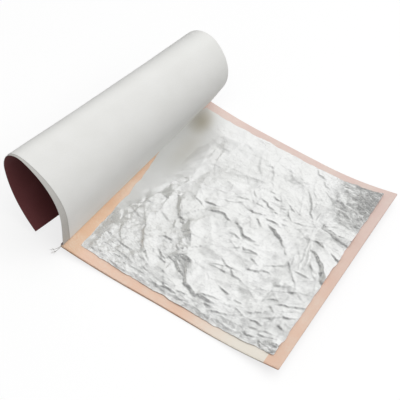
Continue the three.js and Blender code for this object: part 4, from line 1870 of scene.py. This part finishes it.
@dataclass
class SewingThread:
    """A sewing thread of twisted plies, with frayed tails past both ends of the spine."""

    page: PageShape
    node: str
    seed: int
    diameter: float = 0.3 * MM
    plies: int = 3
    ply_radius: float = 0.075 * MM
    pitch: float = 1.6 * MM
    step: float = 0.2 * MM
    tail: float = 5 * MM
    tail_points: int = 26
    fibres: int = 9
    fibre_radius: float = 0.035 * MM
    fibre_points: int = 9
    fibre_lengths: Span = (1.2, 2.6)
    fibre_way: Triple = (-0.6, 0.9, -0.15)
    fibre_stray: Triple = (1.0, 0.3, 0.5)
    fibre_spread: float = 0.55
    fibre_curl: float = 0.35
    fibre_root: float = 0.6 * MM

    def bent(self, first: Points, middle: Points, last: Points) -> Points:
        """Runs from one point to another in a bend towards a third.

        Args:
            first: the first point.
            middle: the point that pulls the bend.
            last: the last point.

        Returns:
            Points along the bend.
        """
        share = np.linspace(0.0, 1.0, self.tail_points)[:, None]
        return (1 - share) ** 2 * first + 2 * share * (1 - share) * middle + share**2 * last

    def route(self) -> Points:
        """Lays the thread straight along the spine, with a drooping tail at each end.

        Returns:
            Points along the thread.
        """
        low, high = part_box(self.node)
        spread = high.x - low.x - self.diameter
        drop = high.z - low.z - self.diameter
        x = high.x - self.diameter / 2.0
        z = high.z - self.diameter / 2.0
        ends = self.page.low.y, self.page.low.y + self.page.length
        near_tip = np.array([x - spread, ends[0] - self.tail, z - drop])
        near_turn = np.array([x, ends[0] - self.tail / 2.0, z])
        near = np.array([x, ends[0], z])
        far = np.array([x, ends[1], z])
        far_turn = np.array([x, ends[1] + self.tail / 2.0, z])
        far_tip = np.array([x - spread, ends[1] + self.tail, z - drop])
        count = int((ends[1] - ends[0]) / self.step)
        middle = mix(near, far, np.linspace(0.0, 1.0, count)[1:-1, None])
        start, end = self.bent(near_tip, near_turn, near), self.bent(far, far_turn, far_tip)
        return np.concatenate([start, middle, end])

    def build(self, thread: Material) -> None:
        """Builds the plies and the frayed fibres as one mesh.

        Args:
            thread: the thread's stuff.
        """
        route = self.route()
        spans = np.linalg.norm(np.diff(route, axis=0), axis=1)
        travelled = np.concatenate([[0.0], np.cumsum(spans)])
        yarn = bpy.data.curves.new(f"sewn_{self.node}", "CURVE")
        yarn.dimensions = "3D"
        yarn.bevel_depth = self.ply_radius
        yarn.bevel_resolution = 1
        yarn.use_fill_caps = True
        for ply in range(self.plies):
            angle = 2.0 * math.pi * (travelled / self.pitch + ply / self.plies)
            line = route.copy()
            line[:, 0] += self.ply_radius * np.cos(angle)
            line[:, 2] += self.ply_radius * np.sin(angle)
            self.strand(yarn, line, 1.0)
        draw = np.random.default_rng(SEED + self.seed)
        for tip, heading in ((route[0], -1.0), (route[-1], 1.0)):
            for _ in range(self.fibres):
                self.strand(yarn, self.fibre(tip, heading, draw), self.fibre_radius / self.ply_radius)
        spun = bpy.data.objects.new("spun", yarn)
        mesh = bpy.data.meshes.new_from_object(spun)
        mesh.name = yarn.name
        bpy.data.objects.remove(spun)
        piece = link(f"sewn_{self.node}", mesh)
        dress(piece, thread)
        seat(piece, "block", self.node)

    def fibre(self, tip: Points, heading: float, draw: np.random.Generator) -> Points:
        """Draws a loose fibre that starts in the thread's end.

        Args:
            tip: the thread's end.
            heading: which way the thread runs out, -1 to the near end and 1 to the far end.
            draw: the seeded draw.

        Returns:
            Points along the fibre.
        """
        share = np.linspace(0.0, 1.0, self.fibre_points)[:, None]
        length = draw.uniform(*self.fibre_lengths) * MM
        lean = draw.normal(0.0, self.fibre_spread, 3)
        out = np.array(self.fibre_way) + np.array(self.fibre_stray) * lean
        out[1] *= heading
        out = out / np.linalg.norm(out)
        curl = draw.normal(0.0, self.fibre_curl, 3) * length
        start = tip - np.array([0.0, heading * self.fibre_root, 0.0])
        return start + share * length * out + share**2 * curl

    @staticmethod
    def strand(yarn: bpy.types.Curve, line: Points, share: float) -> None:
        """Lays a round strand along a line.

        Args:
            yarn: the curve that it is added to.
            line: the points that it follows.
            share: its radius, as a share of a ply's.
        """
        spline = yarn.splines.new("POLY")
        spline.points.add(len(line) - 1)
        places = np.concatenate([line, np.ones((len(line), 1))], axis=1)
        spline.points.foreach_set("co", places.ravel())
        spline.points.foreach_set("radius", np.full(len(line), share))


@dataclass
class Studio:
    """The floor, the light and the camera."""

    page: PageShape
    lens: float = 117.35
    sensor: float = 36.0
    clip: float = 10 * MM
    azimuth: float = 25.571
    elevation: float = 53.555
    roll: float = 7.874
    distance: float = 850.073 * MM
    target: Triple = (50.781 * MM, 83.137 * MM, 1.98 * MM)
    floor_half: float = 4.0
    floor_drop: float = 0.15 * MM
    floor_glow: float = 0.72
    floor_white: float = 1.06
    floor_colour: Colour = (0.6, 0.6, 0.6)
    floor_seen: Colour = (0.95, 0.95, 0.95)
    sky: float = 0.32
    shade_from: Triple = (-0.45, -0.86, -0.24)
    shade_span: Span = (-0.64, 0.245)
    shade_levels: Span = (1.02, 0.17)
    wall_span: Span = (0.30, 0.62)
    wall_levels: Span = (0.0, 0.85)
    screen_at: Triple = (-0.69, -0.13, 0.71)
    side_span: Span = (-0.1, 0.4)
    side_levels: Span = (0.8, 0.0)
    softbox_power: float = 15.3
    softbox_size: float = 1.5
    softbox_place: Triple = (0.35, 0.1, 1.3)

    def build(self) -> None:
        """Builds the stage round the booklet."""
        self.camera()
        self.floor()
        self.world()
        self.softbox()
        bpy.context.scene.view_settings.view_transform = "Standard"

    def camera(self) -> None:
        """Sets the camera where the view was taken from."""
        angles = (self.azimuth, self.elevation, self.roll)
        azimuth, elevation, roll = (math.radians(angle) for angle in angles)
        back = Vector((math.sin(azimuth) * math.cos(elevation),
                       -math.cos(azimuth) * math.cos(elevation), math.sin(elevation)))
        right = Vector((math.cos(azimuth), math.sin(azimuth), 0.0))
        up = back.cross(right)
        turned = right * math.cos(roll) + up * math.sin(roll)
        upright = up * math.cos(roll) - right * math.sin(roll)
        target = Vector((self.page.low.x, self.page.low.y, 0.0)) + Vector(self.target)
        place = target + back * self.distance
        view = bpy.data.cameras.new("view")
        view.lens = self.lens
        view.sensor_width = self.sensor
        view.clip_start = self.clip
        camera = bpy.data.objects.new("view", view)
        camera.matrix_world = Matrix((
            (turned.x, upright.x, back.x, place.x),
            (turned.y, upright.y, back.y, place.y),
            (turned.z, upright.z, back.z, place.z),
            (0.0, 0.0, 0.0, 1.0),
        ))
        bpy.context.scene.collection.objects.link(camera)
        bpy.context.scene.camera = camera

    def floor(self) -> None:
        """Lays a white floor that keeps a soft shadow."""
        ground = bmesh.new()
        bmesh.ops.create_grid(ground, x_segments=1, y_segments=1, size=self.floor_half)
        bmesh.ops.translate(ground, verts=ground.verts[:], vec=(0.0, 0.0, -self.floor_drop))
        mesh = bpy.data.meshes.new("floor")
        ground.to_mesh(mesh)
        ground.free()
        floor = link("floor", mesh)
        sketch = Sketch(bpy.data.materials.new("floor_white"))
        seen = sketch.seen()
        cover = sketch.maths("MULTIPLY", seen, self.floor_glow)
        colour = sketch.blended(seen, opaque(self.floor_colour), opaque(self.floor_seen))
        diffuse = sketch.add("ShaderNodeBsdfDiffuse", {"Color": colour})
        white = {"Color": opaque(WHITE), "Strength": self.floor_white}
        glow = sketch.add("ShaderNodeEmission", white)
        blend = sketch.add("ShaderNodeMixShader", {0: cover, 1: diffuse.outputs[0], 2: glow.outputs[0]})
        sketch.add("ShaderNodeOutputMaterial", {"Surface": blend.outputs[0]})
        dress(floor, sketch.owner)

    def world(self) -> None:
        """Surrounds the floor with white, in which the metal sees a dark screen on the spine's side."""
        world = bpy.data.worlds.new("studio")
        world.cycles.sampling_method = "NONE"
        bpy.context.scene.world = world
        sketch = Sketch(world)
        where = sketch.add("ShaderNodeTexCoord", {}).outputs["Generated"]
        toward = sketch.dotted(where, self.shade_from)
        screen = sketch.ranged(toward, self.shade_span, self.shade_levels, "LINEAR")
        wall = sketch.ranged(toward, self.wall_span, self.wall_levels, "LINEAR")
        aside = sketch.dotted(where, self.screen_at)
        side = sketch.ranged(aside, self.side_span, self.side_levels, "LINEAR")
        shaded = sketch.maths("MAXIMUM", screen, sketch.maths("MAXIMUM", wall, side))
        path = sketch.add("ShaderNodeLightPath", {}).outputs
        clear = sketch.maths("MAXIMUM", path["Is Camera Ray"], path["Is Transmission Ray"])
        metal = sketch.maths("MULTIPLY", path["Is Glossy Ray"], shaded)
        seen = sketch.maths("MAXIMUM", clear, metal)
        plain = sketch.maths("SUBTRACT", 1.0, sketch.maths("MAXIMUM", clear, path["Is Glossy Ray"]))
        level = sketch.maths("ADD", seen, sketch.maths("MULTIPLY", plain, self.sky))
        shade = sketch.add("ShaderNodeBackground", {"Color": opaque(WHITE), "Strength": level})
        sketch.add("ShaderNodeOutputWorld", {"Surface": shade.outputs[0]})

    def softbox(self) -> None:
        """Hangs a large softbox above the booklet, out of the metal's sight."""
        light = bpy.data.lights.new("softbox", "AREA")
        light.shape = "SQUARE"
        light.size = self.softbox_size
        light.energy = self.softbox_power
        lamp = bpy.data.objects.new("softbox", light)
        lamp.location = self.softbox_place
        lamp.rotation_euler = (-lamp.location).to_track_quat("-Z", "Y").to_euler()
        lamp.visible_glossy = False
        bpy.context.scene.collection.objects.link(lamp)


def carrier(number: int) -> str:
    """Gives the body that carries a tissue, or the leaf pressed on it, counted from the top."""
    return {1: "first_page", 2: "second_page"}.get(number, "block")


def write_sizes() -> None:
    """Updates the view layer."""
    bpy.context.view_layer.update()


def main() -> None:
    """Builds the booklet piece by piece, then the studio."""
    logging.basicConfig(level=logging.INFO, format="%(name)s: %(message)s")
    page = PageShape()
    card = CardFinish().build()
    # Painted shade: the cover's plain face is coloured darker than the same card's cut edge, where it shows
    # beside the guard sheet's near edge.
    painted_shade_lining = PaperFinish("card_lining_painted_shade", colour=(0.58, 0.568, 0.54), shade=(0.53, 0.518, 0.49)).build()
    edge = PaperFinish("card_edge", colour=(0.80, 0.795, 0.775), shade=(0.74, 0.73, 0.71)).build()
    guard = PaperFinish("guard_white", colour=(0.88, 0.88, 0.86), shade=(0.845, 0.845, 0.82)).build()
    tissue = TissueFinish(page).build()
    silver = SilverFinish("bright_leaf", wrinkles=0.0).build()
    pressed = SilverFinish("pressed_leaf", wrinkles=0.5 * MM).build()
    thread = PlainFinish("cotton_thread", colour=(0.46, 0.43, 0.39), shade=(0.30, 0.28, 0.25),
                         roughness=0.9, grain_per_metre=4000.0).build()
    glue = PlainFinish("binding_glue", colour=(0.78, 0.74, 0.62), shade=(0.66, 0.61, 0.48),
                       roughness=0.45, grain_per_metre=700.0).build()

    curl = Curl(page)
    CurledCover(page, curl).build(card, painted_shade_lining, edge, guard)
    BackCard(page).build(card, edge)
    tissues = TissueStack(page)
    relief = CrinkledLeaf(Swell(), CREASES, FACETS, CALMS, LIFTS, WRINKLES, CRUMPLES)
    leaves = LeafStack(page, curl, relief)
    for number in range(1, LEAF_COUNT + 1):
        tissues.build(number, carrier(number), tissue)
        if number == 1:
            leaves.build_top(silver)
        else:
            leaves.build_pressed(number, carrier(number), pressed)
    for seed, node in enumerate(("lower_thread", "upper_thread")):
        SewingThread(page, node, seed).build(thread)
    dress(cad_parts["spine_glue"], glue)
    log.info("spine_glue keeps its solid")
    Studio(page).build()
    write_sizes()


if __name__ == "__main__":
    main()
